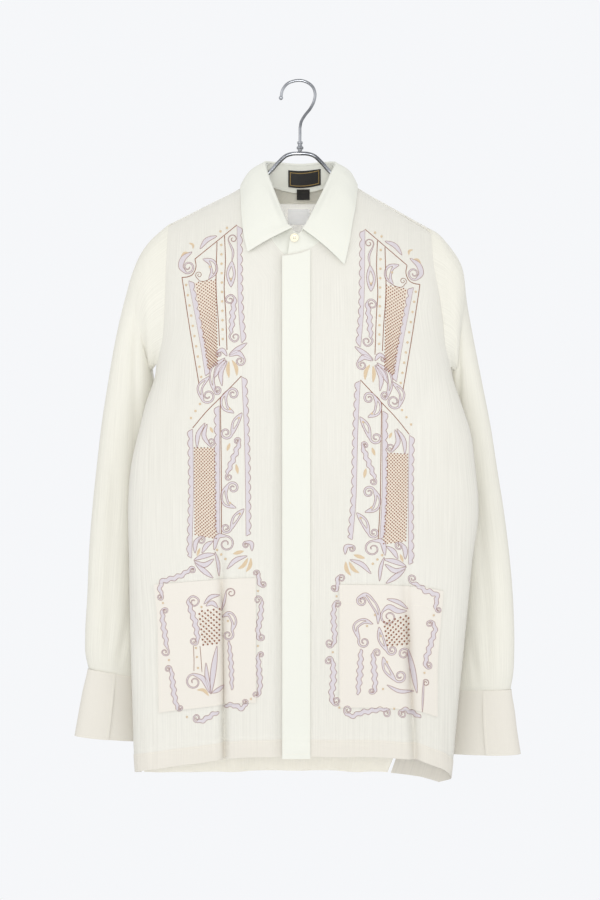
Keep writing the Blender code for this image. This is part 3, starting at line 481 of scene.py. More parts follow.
def skin(side, out, theta, z, level):
    """The body's outer skin.  theta is -90 degrees in the middle of the front, 0 at the side
    edge and 90 in the middle of the back; out is the distance to the side, level the section."""
    half = half_width(side, level)
    round_off = np.abs(np.sin(theta))
    x = side * out
    front = table(BODY, level, 3) * fall(x, z, FRONT_FALL) * round_off
    back = table(BODY, level, 4) * fall(x, z, BACK_FALL) * round_off
    spine = table(BODY, level, 5) * (out / half) ** 2
    is_front = theta < 0
    front_dx, front_dy = fold_shift("front", x, z)
    back_dx, back_dy = fold_shift("back", x, z)
    y = spine + np.where(is_front, front_dy * round_off - front, back_dy * round_off + back)
    x = x + round_off * np.where(is_front, front_dx, back_dx)
    return np.stack([x, y, z + 0 * x], axis=-1)


def face_point(face, x, z):
    """The body's skin at a place seen from the front or the back."""
    x, z = np.broadcast_arrays(np.asarray(x, float), np.asarray(z, float))
    sign = -1.0 if face == "front" else 1.0
    sides = []
    for side in (-1, 1):
        share = np.clip(np.abs(x) / half_width(side, z), 0, 1)
        theta = sign * np.arcsin(np.sqrt(1 - share ** ROUND))
        sides.append(skin(side, side * x, theta, z, z))
    return np.where((x < 0)[..., None], sides[0], sides[1])


def level_line(side, level, start=0.0):
    """The skin along one level of the weave, from the front's middle round the side to the back's
    middle, the distance along it, and where its side edge is."""
    half = float(half_width(side, level))
    out = np.linspace(start, 0.80 * half, 220)
    theta = -np.arcsin(np.sqrt(1 - (np.abs(out) / half) ** ROUND))
    turn = np.linspace(theta[-1], 0.5 * math.pi, 420)[1:]
    out = np.concatenate([out, half * np.abs(np.cos(turn)) ** (2 / ROUND)])
    theta = np.concatenate([theta, turn])
    line = skin(side, out, theta, np.full_like(out, level), level)
    lengths = measured(line) + start
    edge = float(lengths[np.argmin(np.abs(theta))])
    share = (UNDERARM[side] - level) / (UNDERARM[side] - HEM)
    line[:, 2] = level - share * np.interp(lengths, *zip(*SAG[side]))
    return line, lengths, edge


def seam_place(side, level, edge, ahead):
    """Where along a level line one edge of the side seam lies; below the vent's top it opens."""
    share = np.clip((UNDERARM[side] - level) / (UNDERARM[side] - HEM), 0, 1)
    near, far = SEAM_BEHIND[side]
    gap = SEAM + VENT_GAP * step((VENT_TOP - level) / (VENT_TOP - HEM))
    return edge + near + (far - near) * share ** 1.5 - ahead * gap / 2


def armhole(side, depth_share):
    """Distance to the side and height of the armhole seam, and how deep the armhole is."""
    bottom = float(half_width(side, UNDERARM[side]))
    out = table(ARMHOLE[side][:-1] + ((1.0, bottom),), depth_share)
    deep = float(ridge(side * bottom)) - UNDERARM[side]
    return out, ridge(side * out) - deep * np.asarray(depth_share), deep


def body_levels(side):
    """Levels of the body's rows from the hem, whose turned edge is thicker, to the underarm."""
    bottom, top = POCKET_LEVELS[side]
    return np.concatenate([
        [HEM, (HEM + HEM_TOP) / 2, HEM_TOP - 0.0004, HEM_TOP + 0.0004],
        finer(np.linspace(HEM_TOP, bottom, 3))[1:],
        finer(np.linspace(bottom, top, 8))[1:],
        finer(np.linspace(top, UNDERARM[side], 10))[1:],
    ])


def grid_normals(points):
    """Normals of a grid whose rows run up and whose columns run to the right of its outside."""
    across = unit(np.gradient(points, axis=1))
    return unit(np.cross(across, unit(np.gradient(points, axis=0))))


def tucked(points, normals, reach=0.004, sink=0.0013):
    """The grid and one more row past its last: the seam allowance, turned in under the next piece."""
    past = points[-1] + unit(points[-1] - points[-2]) * reach - normals[-1] * sink
    return np.concatenate([points, past[None]])


def cloth_piece(name, points, material, thickness=CLOTH, layers=None, round_tube=False):
    """A sheet whose outside lies on a grid of points, rows up and columns to the right of its
    outside.  Its UV map is the cloth's own width and length, and layers says where it is double."""
    rows, columns = points.shape[:2]
    data = bmesh.new()
    point_grid(data, points)
    across = np.broadcast_to(measured(points[rows // 2]), (rows, columns))
    along = np.cumsum(np.linalg.norm(np.diff(points, axis=0, prepend=points[:1]), axis=2), axis=0)
    weave = data.loops.layers.uv.new("weave")
    double = data.verts.layers.float.new("layers")
    flat = np.stack([across, along], axis=-1).reshape(-1, 2)
    layer_share = np.zeros((rows, columns)) if layers is None else layers
    for vert, share in zip(data.verts, layer_share.reshape(-1)):
        vert[double] = float(share)
    data.verts.index_update()
    for face in data.faces:
        for loop in face.loops:
            loop[weave].uv = flat[loop.vert.index]
    if round_tube:
        bmesh.ops.remove_doubles(data, verts=data.verts, dist=1e-6)
    made = new_piece(name, data, material)
    shell = made.modifiers.new("shell", "SOLIDIFY")
    shell.thickness = thickness
    shell.offset = -1
    graph = bpy.context.evaluated_depsgraph_get()
    walled = bpy.data.meshes.new_from_object(made.evaluated_get(graph))
    made.modifiers.clear()
    made.data = walled
    walled.name = name
    walled.set_sharp_from_angle(angle=math.radians(SHARP))
    return made


def cloth_look(name, opacity, single, single_shade, double=None, double_shade=None):
    """A fine plain weave with slubs.  opacity is how much one face of a single layer hides."""
    look = Look(name, specular_ior_level=0.25, sheen_weight=0.12, sheen_roughness=0.5)
    warp = look.noise(look.place((1500, 12, 1), "weave"), 2.0)
    weft = look.noise(look.place((22, 1300, 1), "weave"), 2.0)
    drift = look.noise(look.place((9, 9, 5)), 2.0)
    layers = look.node("ShaderNodeAttribute", {"attribute_name": "layers"}, {}, output=2)
    tone = (0.40 * warp + 0.25 * weft + 0.70 * drift - 0.18).clipped()
    one = look.blend(tone, single_shade, single)
    two = look.blend(tone, double_shade or single_shade, double or single)
    if opacity < 1:
        look.set("Alpha", (opacity + 0.22 * (warp - 0.5) + (1 - opacity) * opacity * layers).clipped())
    across, along = look.parts(look.place((*2 * (2 * math.pi / WEAVE_PITCH,), 1), "weave"))
    over = across.sine() * along.sine()
    height = 0.35 * over + 0.9 * warp + 0.5 * weft
    return look.finish(look.blend(layers, one, two), 0.72 + 0.16 * weft, height, 0.16, 0.0004)


# Painted light: the back and the yoke are the same sheer cloth as the fronts, painted lighter, standing in
# for light that comes through the sheer cloth into the shirt's inside.
BEHIND = cloth_look("back_weave", 0.42, (250, 247, 236), (245, 240, 227), (248, 244, 231),
                    (242, 237, 222))


def hem_layers(levels, rows, columns):
    """1 on the turned hem, 0 above it."""
    shares = np.zeros((rows, columns))
    shares[:len(levels)] = (np.asarray(levels) < HEM_TOP)[:, None]
    return shares


def back_grid():
    """The back's points from one side seam to the other, rows from the hem to the yoke's seam."""
    halves = []
    for side in (-1, 1):
        rows = []
        spread = finer(BACK_SPREAD)
        for level in body_levels(side):
            line, lengths, edge = level_line(side, level)
            start = seam_place(side, level, edge, -1)
            rows.append(read_line(line, lengths, start + (lengths[-1] - start) * spread))
        _, _, deep = armhole(side, 0.0)
        top = YOKE_ARM_DEPTH / deep
        for climb in np.linspace(0, 1, BACK_ARM_STEPS * FINE + 1)[1:]:
            shape = 0.5 * math.sin(climb * 0.5 * math.pi) ** 1.5 + 0.5 * climb ** 1.3
            out_end, z_end, _ = armhole(side, 1 - (1 - top) * shape)
            share = np.linspace(1, 0, SAMPLES)
            centre = UNDERARM[side] + (YOKE_BACK - UNDERARM[side]) * climb
            z_row = centre + (float(z_end) - centre) * share ** 1.5
            line = face_point("back", side * float(out_end) * share, z_row)
            lengths = measured(line)
            rows.append(read_line(line, lengths, lengths[-1] * spread))
        halves.append(np.array(rows))
    left, right = halves
    middle = 0.5 * (left[:, -1] + right[:, -1])
    return np.concatenate([left[:, :-1], middle[:, None], right[:, -2::-1]], axis=1)


back_points = back_grid()
back_layers = hem_layers(body_levels(1), *back_points.shape[:2])
back_outside = back_points[:, ::-1]
back_outside = back_outside + (back_layers * FOLDED_EDGE)[..., None] * grid_normals(back_outside)
back_layers = np.concatenate([back_layers, back_layers[-1:]])
back_outside = tucked(back_outside, grid_normals(back_outside))
back = cloth_piece("back_cloth", back_outside, BEHIND, layers=back_layers)
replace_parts(back, "back")

# The yoke.  A double piece over both shoulders, from just in front of the ridge down to the back's
# seam.  It carries the whole shirt where it lies over the hanger's arms.
YOKE_ARM_STEPS = (0.0, 0.003, 0.011, 0.026, 0.042, YOKE_ARM_DEPTH - SEAM)
YOKE_ROWS = 28
NECK = (
    # base_x, base_z, face, top_x, top_y, top_z, edge_x, edge_y, edge_z
    (0.0060, -0.2165, "front", 0.0050, -0.0585, -0.1945, None, None, None),
    (-0.0125, -0.2200, "front", -0.0090, -0.0600, -0.1890, -0.0621, None, -0.2150),
    (-0.0335, -0.2000, "front", -0.0170, -0.0530, -0.1750, -0.0665, None, -0.1950),
    (-0.0450, -0.1650, "front", -0.0295, -0.0350, -0.1420, -0.0695, None, -0.1700),
    (-0.0498, -0.1350, "front", -0.0380, -0.0150, -0.1165, -0.0712, None, -0.1470),
    (-0.0510, -0.1148, "ridge", -0.0412, 0.0040, -0.1000, -0.0715, 0.0030, -0.1245),
    (-0.0320, -0.1230, "back", -0.0310, 0.0230, -0.0960, -0.0540, None, -0.1400),
    (0.0000, -0.1276, "back", 0.0000, 0.0320, -0.0968, 0.0000, None, -0.1420),
    (0.0320, -0.1230, "back", 0.0310, 0.0230, -0.0960, 0.0540, None, -0.1400),
    (0.0510, -0.1148, "ridge", 0.0418, 0.0040, -0.1010, 0.0695, 0.0030, -0.1236),
    (0.0496, -0.1350, "front", 0.0360, -0.0150, -0.1170, 0.0672, None, -0.1530),
    (0.0440, -0.1650, "front", 0.0260, -0.0350, -0.1420, 0.0625, None, -0.1780),
    (0.0340, -0.1920, "front", 0.0120, -0.0530, -0.1720, 0.0580, None, -0.2050),
    (0.0156, -0.2085, "front", 0.0016, -0.0605, -0.1905, 0.0525, None, -0.2304),
    (-0.0209, -0.2195, "front", -0.0140, -0.0630, -0.1970, None, None, None),
)
LEFT_SIDE, RIGHT_SIDE = 5, 9
NECK_STEPS = 6
BAND_END_INSET = 0.0065
COLLAR_OFF_BODY = 0.0026
EDGE_OFF_BODY = 0.0036
YOKE_CLOTH = 0.0008


def neck_lines():
    """The band's seam, the fold line and the collar's edge through the neck's stations."""
    base, edge = [], []
    for x, z, face, *_ in NECK:
        base.append((x, 0.0, float(ridge(x))) if face == "ridge" else tuple(face_point(face, x, z)))
    for row in NECK[1:-1]:
        x, y, z = row[6:9]
        if y is None:
            y = face_point(row[2], x, z)[1] + (EDGE_OFF_BODY if row[2] == "back" else -EDGE_OFF_BODY)
        edge.append((x, y, z))
    base = np.array(base)
    return base, np.array([row[3:6] for row in NECK]), np.array(edge), measured(base)


neck_base, neck_top, neck_edge, neck_lengths = neck_lines()
left_end, right_end = neck_lengths[LEFT_SIDE], neck_lengths[RIGHT_SIDE]


def neck_stations():
    """Distances along the band's seam: under the left front, the yoke and the right front."""
    left = left_end - YOKE_FRONT[-1]
    right = right_end + YOKE_FRONT[1]
    over = np.linspace(left_end, right_end, 9)
    return (
        np.linspace(0, left - SEAM, NECK_STEPS + 1),
        np.concatenate([[left], over, [right]]),
        np.linspace(right + SEAM, neck_lengths[-1], NECK_STEPS + 1),
    )


def neck_seam(at):
    """The band's seam on the skin at distances along it."""
    result = []
    for place, (x, _, z) in zip(at, hermite(neck_lengths, neck_base, at)):
        top = float(ridge(x))
        if min(abs(place - left_end), abs(place - right_end)) < 1e-6:
            result.append(np.array([x, 0.0, top]))
            continue
        behind = left_end < place < right_end
        result.append(face_point("back" if behind else "front", x, top - max(top - z, 1e-5)))
    return np.array(result)


def yoke_point(x, depth):
    """The skin by distance below the ridge: negative in front, positive behind."""
    z = ridge(x) - np.abs(depth)
    return np.where((np.asarray(depth) < 0)[..., None], face_point("front", x, z),
                    face_point("back", x, z))


def yoke_grid(back_seam):
    _, middle, _ = neck_stations()
    arms = {}
    for side in (-1, 1):
        depths = finer((-YOKE_FRONT[side],) + YOKE_ARM_STEPS)
        _, _, deep = armhole(side, 0.0)
        out, z, _ = armhole(side, np.abs(depths) / deep)
        arms[side] = side * out, (ridge(side * out) - z) * np.where(depths < 0, -1, 1)
    seam_x = back_seam[1:-1, 0]
    seam_depth = ridge(seam_x) - back_seam[1:-1, 2] - SEAM
    outer_x = np.concatenate([arms[-1][0], seam_x, arms[1][0][::-1]])
    outer_depth = np.concatenate([arms[-1][1], seam_depth, arms[1][1][::-1]])
    steps = len(outer_x) // FINE
    station = np.linspace(0, 1, len(middle))
    arm_end = len(YOKE_ARM_STEPS) / steps
    warped = np.interp(np.linspace(0, 1, len(outer_x)),
                       [0, 1 / steps, arm_end, 1 - arm_end, 1 - 1 / steps, 1],
                       [0, station[1], station[3], station[-4], station[-2], 1])
    places = np.interp(warped, station, middle)
    neck = neck_seam(places)
    in_front = (places < left_end) | (places > right_end)
    inner_depth = (ridge(neck[:, 0]) - neck[:, 2]) * np.where(in_front, -1, 1)
    share = np.linspace(0, 1, YOKE_ROWS + 1)[:, None]
    x = neck[:, 0] + (outer_x - neck[:, 0]) * share
    depth = inner_depth + (outer_depth - inner_depth) * share
    return yoke_point(x, depth)


yoke_points = yoke_grid(back_points[-1])
yoke = cloth_piece("yoke_cloth", yoke_points[::-1, ::-1], BEHIND, YOKE_CLOTH)
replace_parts(yoke, "yoke")

# The fronts.  Two pieces of the sheer weave; the wearer's left one, at +X, lies on top and carries
# the placket.  Both hang in one deep crease and a few soft ones, and end in a turned hem.
PLACKET_LEFT = -0.0209
PLACKET_RIGHT = 0.0122
UNDERLAP_X = 0.0060
UNDERLAP_DROP = 0.0028
CENTRE_STEPS = 4
POCKET_REACH = {-1: (0.0520, 0.1780), 1: (0.0465, 0.1720)}
POCKET_COLUMN = 3
SIDES = ((-1, "right"), (1, "left"))


SHEER = cloth_look("sheer_weave", 0.86, (229, 227, 218), (221, 218, 208), (220, 215, 204), (212, 207, 196))


def under_step(points):
    """How far back the underlap of the wearer's right front lies, by place."""
    return (UNDERLAP_DROP * step((points[..., 0] + 0.034) / 0.010))[..., None] * np.array([0, 1, 0])


def front_columns(side):
    near, far = POCKET_REACH[side]
    return np.array((0, 0.024, 0.034, near, 0.066, 0.080, 0.089, 0.098, 0.107, 0.116, 0.125,
                     0.134, 0.143, 0.152, far))


def front_places(side, start, end):
    """A front row's column places: fixed as far as the pocket's outer edge, then spread out."""
    columns = front_columns(side)
    begin = max(start, 0)
    far = min(columns[-1], begin + 0.93 * (end - begin))
    places = begin + columns / columns[-1] * (far - begin)
    places[0] = start
    return finer(np.concatenate([places, np.linspace(far, end, 7)[1:]]))


def front_grid(side):
    start = -UNDERLAP_X if side < 0 else PLACKET_LEFT
    rows = []
    for level in body_levels(side):
        line, lengths, edge = level_line(side, level, start)
        rows.append(read_line(line, lengths, front_places(side, start, seam_place(side, level, edge, 1))))
    _, _, deep = armhole(side, 0.0)
    top = (YOKE_FRONT[side] + SEAM) / deep
    left, _, right = neck_stations()
    neck_ends = np.linspace(neck_lengths[1], left[-1], len(left)) if side < 0 else right[::-1]
    for k in np.linspace(0, FRONT_ARM_STEPS, FRONT_ARM_STEPS * 2 * FINE + 1)[1:]:
        climb = k / FRONT_ARM_STEPS
        out_end, z_end, _ = armhole(side, top + (1 - top) * (0.5 + 0.5 * math.cos(climb * math.pi)))
        place = np.interp(max(k - CENTRE_STEPS, 0), np.arange(NECK_STEPS + 1), neck_ends)
        neck = neck_seam([place])[0]
        out_start, z_start = side * neck[0], neck[2]
        if k < CENTRE_STEPS:
            out_start = start + (out_start - start) * float(step(k - CENTRE_STEPS + 1))
            z_start = UNDERARM[side] + (neck[2] - UNDERARM[side]) * k / CENTRE_STEPS
        share = np.linspace(0, 1, SAMPLES)
        out = out_start + (float(out_end) - out_start) * share
        level = z_start + (float(z_end) - z_start) * share ** (1.6 - 0.6 * climb ** 2)
        begin, end = ridge(side * out[0]) - z_start, ridge(side * out[-1]) - float(z_end)
        z = level + climb ** 2 * (ridge(side * out) - (begin + (end - begin) * share) - level)
        line = face_point("front", side * out, np.minimum(z, ridge(side * out) - 1e-5))
        lengths = measured(line) + out_start
        rows.append(read_line(line, lengths, front_places(side, out_start, lengths[-1])))
    return np.array(rows)


front_points, front_pieces = {}, {}
for side, word in SIDES:
    points = front_grid(side)[:, ::side]
    normals = grid_normals(points)
    front_points[side] = points
    layers = hem_layers(body_levels(side), *points.shape[:2])
    outside = points + normals * (layers * FOLDED_EDGE)[..., None]
    if side < 0:
        outside = outside + under_step(points)
    layers = np.concatenate([layers, layers[-1:]])
    piece = cloth_piece(f"front_{word}_cloth", tucked(outside, normals, reach=0.003), SHEER,
                        layers=layers)
    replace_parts(piece, f"front_{word}")
    0.24 if side < 0 else 0.26
    front_pieces[side] = piece

# The placket.  A fly strip of doubled cloth down the wearer's left front, which hides the buttons.
# It is stitched to the front along both edges, and its foot ends just below the hem.
PLACKET_FOOT = -0.8155
DOUBLED = 0.0010
DOUBLE = cloth_look("double_weave", 1.0, (223, 223, 214), (217, 217, 206))


def placket_grid():
    levels = np.concatenate([[PLACKET_FOOT, -0.804, HEM_TOP - 0.0004, HEM_TOP + 0.0004],
                             np.linspace(HEM_TOP, -0.2240, 90)[1:], [-0.2205]])
    x = finer([PLACKET_LEFT - 0.0002, -0.0100, 0.0020, PLACKET_RIGHT])
    points = face_point("front", x[None, :], levels[:, None])
    points[-1, :, 2] += np.interp(x, [x[0], -0.0100, 0.0020, x[-1]], [0.0006, 0.0016, 0.0042, 0.0080])
    lift = np.full(len(levels), 1.5 * SEAM + CAD_CLOTH)
    lift[:3] += FOLDED_EDGE
    return points + grid_normals(points) * lift[:, None, None]


placket_points = placket_grid()
placket = cloth_piece("placket_cloth", placket_points, DOUBLE, DOUBLED)
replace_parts(placket, "placket")

# The pockets.  A patch pocket of doubled cloth low on each front, which creases with the front.
# It is stitched down on three sides, and its top is turned over and stitched across.
POCKET_LIFT = SEAM + CAD_CLOTH
POCKET_CLOTH = 0.0009
# Painted shade: the pockets are the same doubled cloth as the placket, painted a little darker.
POCKETING = cloth_look("pocket_weave", 1.0, (221, 216, 206), (214, 208, 198))


def pocket_grid(side):
    levels = body_levels(side)
    bottom, top = POCKET_LEVELS[side]
    rows = np.flatnonzero((levels > bottom - 1e-6) & (levels < top + 1e-6))
    ends = POCKET_COLUMN * FINE, (len(front_columns(side)) - 1) * FINE
    points = front_points[side][:, ::side]
    points = points[rows[0]:rows[-1] + 1, ends[0]:ends[1] + 1][:, ::side]
    return points, grid_normals(points)


pocket_pieces = {}
for side, word in SIDES:
    points, normals = pocket_grid(side)
    piece = cloth_piece(f"pocket_{word}_cloth", points + normals * POCKET_LIFT, POCKETING,
                        POCKET_CLOTH)
    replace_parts(piece, f"pocket_{word}")
    pocket_pieces[side] = piece

# The sleeves.  A tube of the sheer weave each, set into the armhole and gathered a little at the
# wrist.  They hang in long soft folds, deepest below the elbow.
SLEEVE = mm({
    -1: (
        # outer_x, outer_y, outer_z, inner_x, inner_y, inner_z, half
        (172, 0, -183.8, 180, 5, -350, 28),
        (182, 0, -193.2, 184, 12, -356, 31),
        (193.5, 1, -208.6, 184, 24, -365, 33),
        (203.2, 2, -229.4, 181, 36, -377, 34),
        (213.4, 1, -263.5, 173, 48, -396, 34),
        (225.5, -3, -318.4, 160, 56, -425, 34),
        (233, -5, -365, 154, 62, -456, 33),
        (239.8, -6, -411.1, 151, 63, -492, 32),
        (245, -7, -460, 152, 63, -530, 31),
        (249.6, -8, -510, 154, 62, -568, 30),
        (254.5, -8, -570, 158, 60, -612, 29),
        (256.9, -8, -625.9, 163, 56, -656, 28),
        (260, -7, -676, 169, 51, -700, 26),
        (260, -5, -699, 173, 47, -721, 23),
        (257, -3, -714.5, 177, 43, -733.5, 19.5),
    ),
    1: (
        (170, 0, -186.5, 189.5, 5, -353, 28),
        (180.5, 0, -198.5, 192.5, 12, -359, 31),
        (190.4, 1, -211.9, 192, 23, -368, 33),
        (196.5, 2, -224, 188.5, 36, -380, 33),
        (205, 4, -274, 182, 51, -400, 32),
        (214, 5, -323, 174, 65, -430, 30),
        (222.5, 5, -368, 167, 73, -462, 29),
        (231.8, 4, -418.5, 162, 75, -499, 28),
        (239, 2, -470, 160, 74, -537, 28),
        (246, 0, -520, 160, 72, -576, 28),
        (253.5, -3, -580, 161, 67, -623, 28),
        (257.9, -6, -636.8, 164, 61, -670, 27),
        (259.2, -7, -695.4, 168, 54, -712, 25),
        (258.5, -5, -722, 170.5, 49, -733, 23),
        (256, -3, -739.5, 173, 44, -745.5, 19.5),
    ),
})
SLEEVE_FOLDS = {
    # angle_top, share_top, angle_foot, share_foot, depth, reach
    -1: (
        (62, 0.10, 84, 0.92, 0.0022, 9.0),
        (112, 0.22, 104, 0.99, 0.0026, 10.0),
        (38, 0.45, 52, 0.99, 0.0020, 9.0),
        (140, 0.06, 128, 0.60, 0.0020, 10.0),
        (76, 0.80, 70, 1.00, 0.0022, 6.0),
        (250, 0.12, 262, 0.98, 0.0024, 11.0),
        (300, 0.35, 290, 0.99, 0.0022, 10.0),
    ),
    1: (
        (66, 0.12, 92, 0.95, 0.0022, 9.0),
        (118, 0.20, 110, 0.99, 0.0026, 10.0),
        (44, 0.42, 58, 0.99, 0.0020, 9.0),
        (146, 0.08, 132, 0.66, 0.0018, 10.0),
        (78, 0.82, 74, 1.00, 0.0022, 6.0),
        (256, 0.10, 266, 0.98, 0.0024, 11.0),
        (296, 0.33, 286, 0.99, 0.0022, 10.0),
    ),
}
SLEEVE_COLUMNS = 128
SLEEVE_ROWS = 132
# Painted light: the sleeves are the same sheer cloth as the fronts, painted a little lighter and creamier,
# standing in for light that comes through the sheer tube.
SLEEVING = cloth_look("sleeve_weave", 0.86, (234, 232, 221), (226, 223, 211), (230, 226, 213),
                      (222, 217, 203))


def ring(rows, i, side, angles, turn=1.0):
    """Points round one row's ring; angle 0 is its outer end and 90 degrees its front.  turn is how
    much its short axis turns square to the sleeve's run instead of straight to the front."""
    before, ends, after = (rows[min(max(k, 0), len(rows) - 1), :6].reshape(2, 3) * (side, 1, 1)
                           for k in (i - 1, i, i + 1))
    outer, inner = ends
    along = after.mean(axis=0) - before.mean(axis=0)
    long_axis = (outer - inner) / 2
    to_front = unit(np.cross(along, long_axis))
    if to_front[1] > 0:
        to_front = -to_front
    to_front = unit(turn * to_front + (1 - turn) * np.array([0.0, -1.0, 0.0]))
    centre = (outer + inner) / 2
    return (centre + np.cos(angles)[:, None] * long_axis
            + np.sin(angles)[:, None] * rows[i, 6] * to_front)


def through(rings, shares):
    """Rings of a smooth tube through the given ones, at shares of the way along it."""
    rings = np.array(rings)
    run = measured(rings.mean(axis=1))
    return hermite(run, rings, shares * run[-1])


def outward(points):
    """Normals of a tube's grid, away from the middle of each ring."""
    normals = grid_normals(points)
    middle = points.mean(axis=1, keepdims=True)
    return normals * np.sign(np.sum(normals * (points - middle), axis=(1, 2), keepdims=True))


def sleeve_grid(side):
    angles = np.linspace(0, 2 * math.pi, SLEEVE_COLUMNS + 1)
    shares = 0.5 - 0.5 * np.cos(angles)
    first = np.array([face_point("front" if angle <= math.pi else "back", side * out, z)
                      for angle, out, z in zip(angles, *armhole(side, shares)[:2])])
    first[:, 0] += side * (SEAM + 0.0011 * shares ** 2)
    share = np.linspace(0, 1, SLEEVE_ROWS)
    points = through([first] + [ring(SLEEVE[side], i, side, angles, min(1.0, (i / 9) ** 2))
                                for i in range(len(SLEEVE[side]))], share)
    sink = np.zeros(points.shape[:2])
    degrees = np.degrees(angles)
    for top, share_top, foot, share_foot, depth, reach in SLEEVE_FOLDS[side]:
        middle = np.interp(share, [share_top, share_foot], [top, foot])
        strength = step((share - share_top) / 0.16) * step((share_foot + 0.02 - share) / 0.10)
        off = (degrees[None, :] - middle[:, None]) / reach
        sink += depth * strength[:, None] * np.exp(-off * off)
    return points - outward(points) * sink[..., None]


def facing_out(points):
    """The grid with its rows up and its columns to the right of its outside."""
    flipped = points[::-1] if points[0, :, 2].mean() > points[-1, :, 2].mean() else points
    normals = grid_normals(flipped)
    middle = flipped.mean(axis=1, keepdims=True)
    return flipped if np.sum(normals * (flipped - middle)) > 0 else flipped[:, ::-1]


for side, word in SIDES:
    points = sleeve_grid(side)
    points = tucked(points[::-1], outward(points)[::-1], reach=0.004, sink=0.0016)[::-1]
    points = facing_out(tucked(points, outward(points), reach=0.005, sink=0.0014))
    piece = cloth_piece(f"sleeve_{word}_cloth", points, SLEEVING, round_tube=True)
    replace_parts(piece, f"sleeve_{word}")

# The cuffs.  A doubled strip round each wrist, whose front end laps over its back end.  It holds
# the sleeve's gathers, and the lap stands looser towards the hand.
CUFF = mm({
    -1: (
        # outer_x, outer_y, outer_z, inner_x, inner_y, inner_z, half
        (257.5, -3, -715.7, 176.5, 43, -734.7, 18.5),
        (260.5, -5, -735, 177, 43, -754, 19),
        (265, -8, -762, 177.5, 43, -781, 20),
        (270.7, -11, -796, 178, 43, -811, 21),
    ),
    1: (
        (256.5, -3, -740.7, 172.5, 44, -746.7, 18.5),
        (258, -5, -760, 172, 44, -766, 19),
        (260.5, -8, -787, 170, 44, -793, 20),
        (265, -11, -818, 168, 44, -824.5, 21),
    ),
})
CUFF_START, CUFF_END = 32, 427
CUFF_LAP = 0.0024
CUFF_LAP_START, CUFF_LAP_RISE = 290, 70
CUFF_ROWS = 24
# Painted shade: the cuffs are the same doubled cloth as the placket, painted a little darker.
CUFFING = cloth_look("cuff_weave", 1.0, (218, 214, 204), (210, 205, 194))


def cuff_grid(side):
    angles = np.radians(np.linspace(CUFF_START, CUFF_END, 140))
    rings = [ring(CUFF[side], i, side, angles) for i in range(len(CUFF[side]))]
    points = through(rings, np.linspace(0, 1, CUFF_ROWS))
    lift = CUFF_LAP * step((np.degrees(angles) - CUFF_LAP_START) / CUFF_LAP_RISE)
    loose = 0.25 + 0.75 * step(np.linspace(0, 2.5, CUFF_ROWS))
    return points + outward(points) * (loose[:, None] * lift)[..., None]


cuff_points = {}
for side, word in SIDES:
    cuff_points[side] = facing_out(cuff_grid(side))
    piece = cloth_piece(f"cuff_{word}_cloth", cuff_points[side], CUFFING, DOUBLED)
    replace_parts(piece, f"cuff_{word}")

# The collar band.  A stiffened upright strip round the neck, buttoned in front, under the collar.
# Its foot is sewn to the fronts and the yoke, and its top carries the collar.
COLLAR_CLOTH = 0.0014


def band_grid():
    left, middle, right = neck_stations()
    at = np.concatenate([left, middle[1:-1], right])
    at = at[at < neck_lengths[-1] - BAND_END_INSET]
    at = finer(np.concatenate([at, [neck_lengths[-1] - BAND_END_INSET]]))
    seam = neck_seam(at)
    fold = hermite(neck_lengths, neck_top, at)
    up = unit(fold - seam)
    rows = np.array([seam + up * 3 * SEAM] + [seam + (fold - seam) * share for share in (0.35, 0.7, 1.0)])
    points = hermite(np.arange(4), rows, np.linspace(0, 3, 13))
    return points + under_step(points) * (at < left_end)[None, :, None], at


band_points, band_at = band_grid()
band_outside = band_points[:, ::-1]
band_outside = tucked(band_outside[::-1], grid_normals(band_outside)[::-1], reach=0.0035, sink=0.0016)[::-1]
band = cloth_piece("collar_band_cloth", band_outside, DOUBLE, COLLAR_CLOTH)
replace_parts(band, "collar_band")

# The collar.  Two layers of the cloth with a stiffening between them.  It folds over the band's
# top and lies down on the shirt with long straight points.
COLLAR_ROLL = mm(((0.3, 0), (2, 0.3), (3.1, 1.4), (3.3, 3), (2.2, 4.5)))
COLLAR_BULGE = 0.0045
COLLAR_ROWS = 44


def off_body(points):
    """Moves points out until they clear the body's skin."""
    moved = points.copy()
    for index in np.ndindex(points.shape[:2]):
        x, y, z = points[index]
        below = float(ridge(x)) - z
        if below <= 0:
            moved[index][2] = max(z, float(ridge(x)) + COLLAR_OFF_BODY) if abs(x) > NECK_X else z
        elif y < 0:
            moved[index][1] = min(y, float(face_point("front", x, z)[1]) - COLLAR_OFF_BODY)
        else:
            moved[index][1] = max(y, float(face_point("back", x, z)[1]) + COLLAR_OFF_BODY)
    return moved


def collar_grid():
    ends = neck_lengths[1], left_end, right_end, neck_lengths[-2]
    at = np.concatenate([np.linspace(ends[0], ends[1], 33), np.linspace(ends[1], ends[2], 33)[1:],
                         np.linspace(ends[2], ends[3], 33)[1:]])
    fold = hermite(neck_lengths, neck_top, at)
    brim = hermite(neck_lengths[1:-1], neck_edge, at)
    along = unit(np.gradient(fold, axis=0))
    away = unit(np.cross(np.array([0.0, 0.0, 1.0]), along))
    rows = [fold + np.array([0.0, 0.0, rise]) + away * out for rise, out in COLLAR_ROLL]
    bend = rows[-1]
    lie = unit(np.cross(along, unit(brim - bend)))
    lie *= np.sign(np.sum(lie * away, axis=1, keepdims=True))
    for share in (0.12, 0.26, 0.42, 0.6, 0.8, 1.0):
        rows.append(bend + (brim - bend) * share + lie * COLLAR_BULGE * math.sin(math.pi * share))
    rows = np.array(rows)
    rows[len(COLLAR_ROLL):] = off_body(rows[len(COLLAR_ROLL):])
    return hermite(np.arange(len(rows)), rows, np.linspace(0, len(rows) - 1, COLLAR_ROWS))


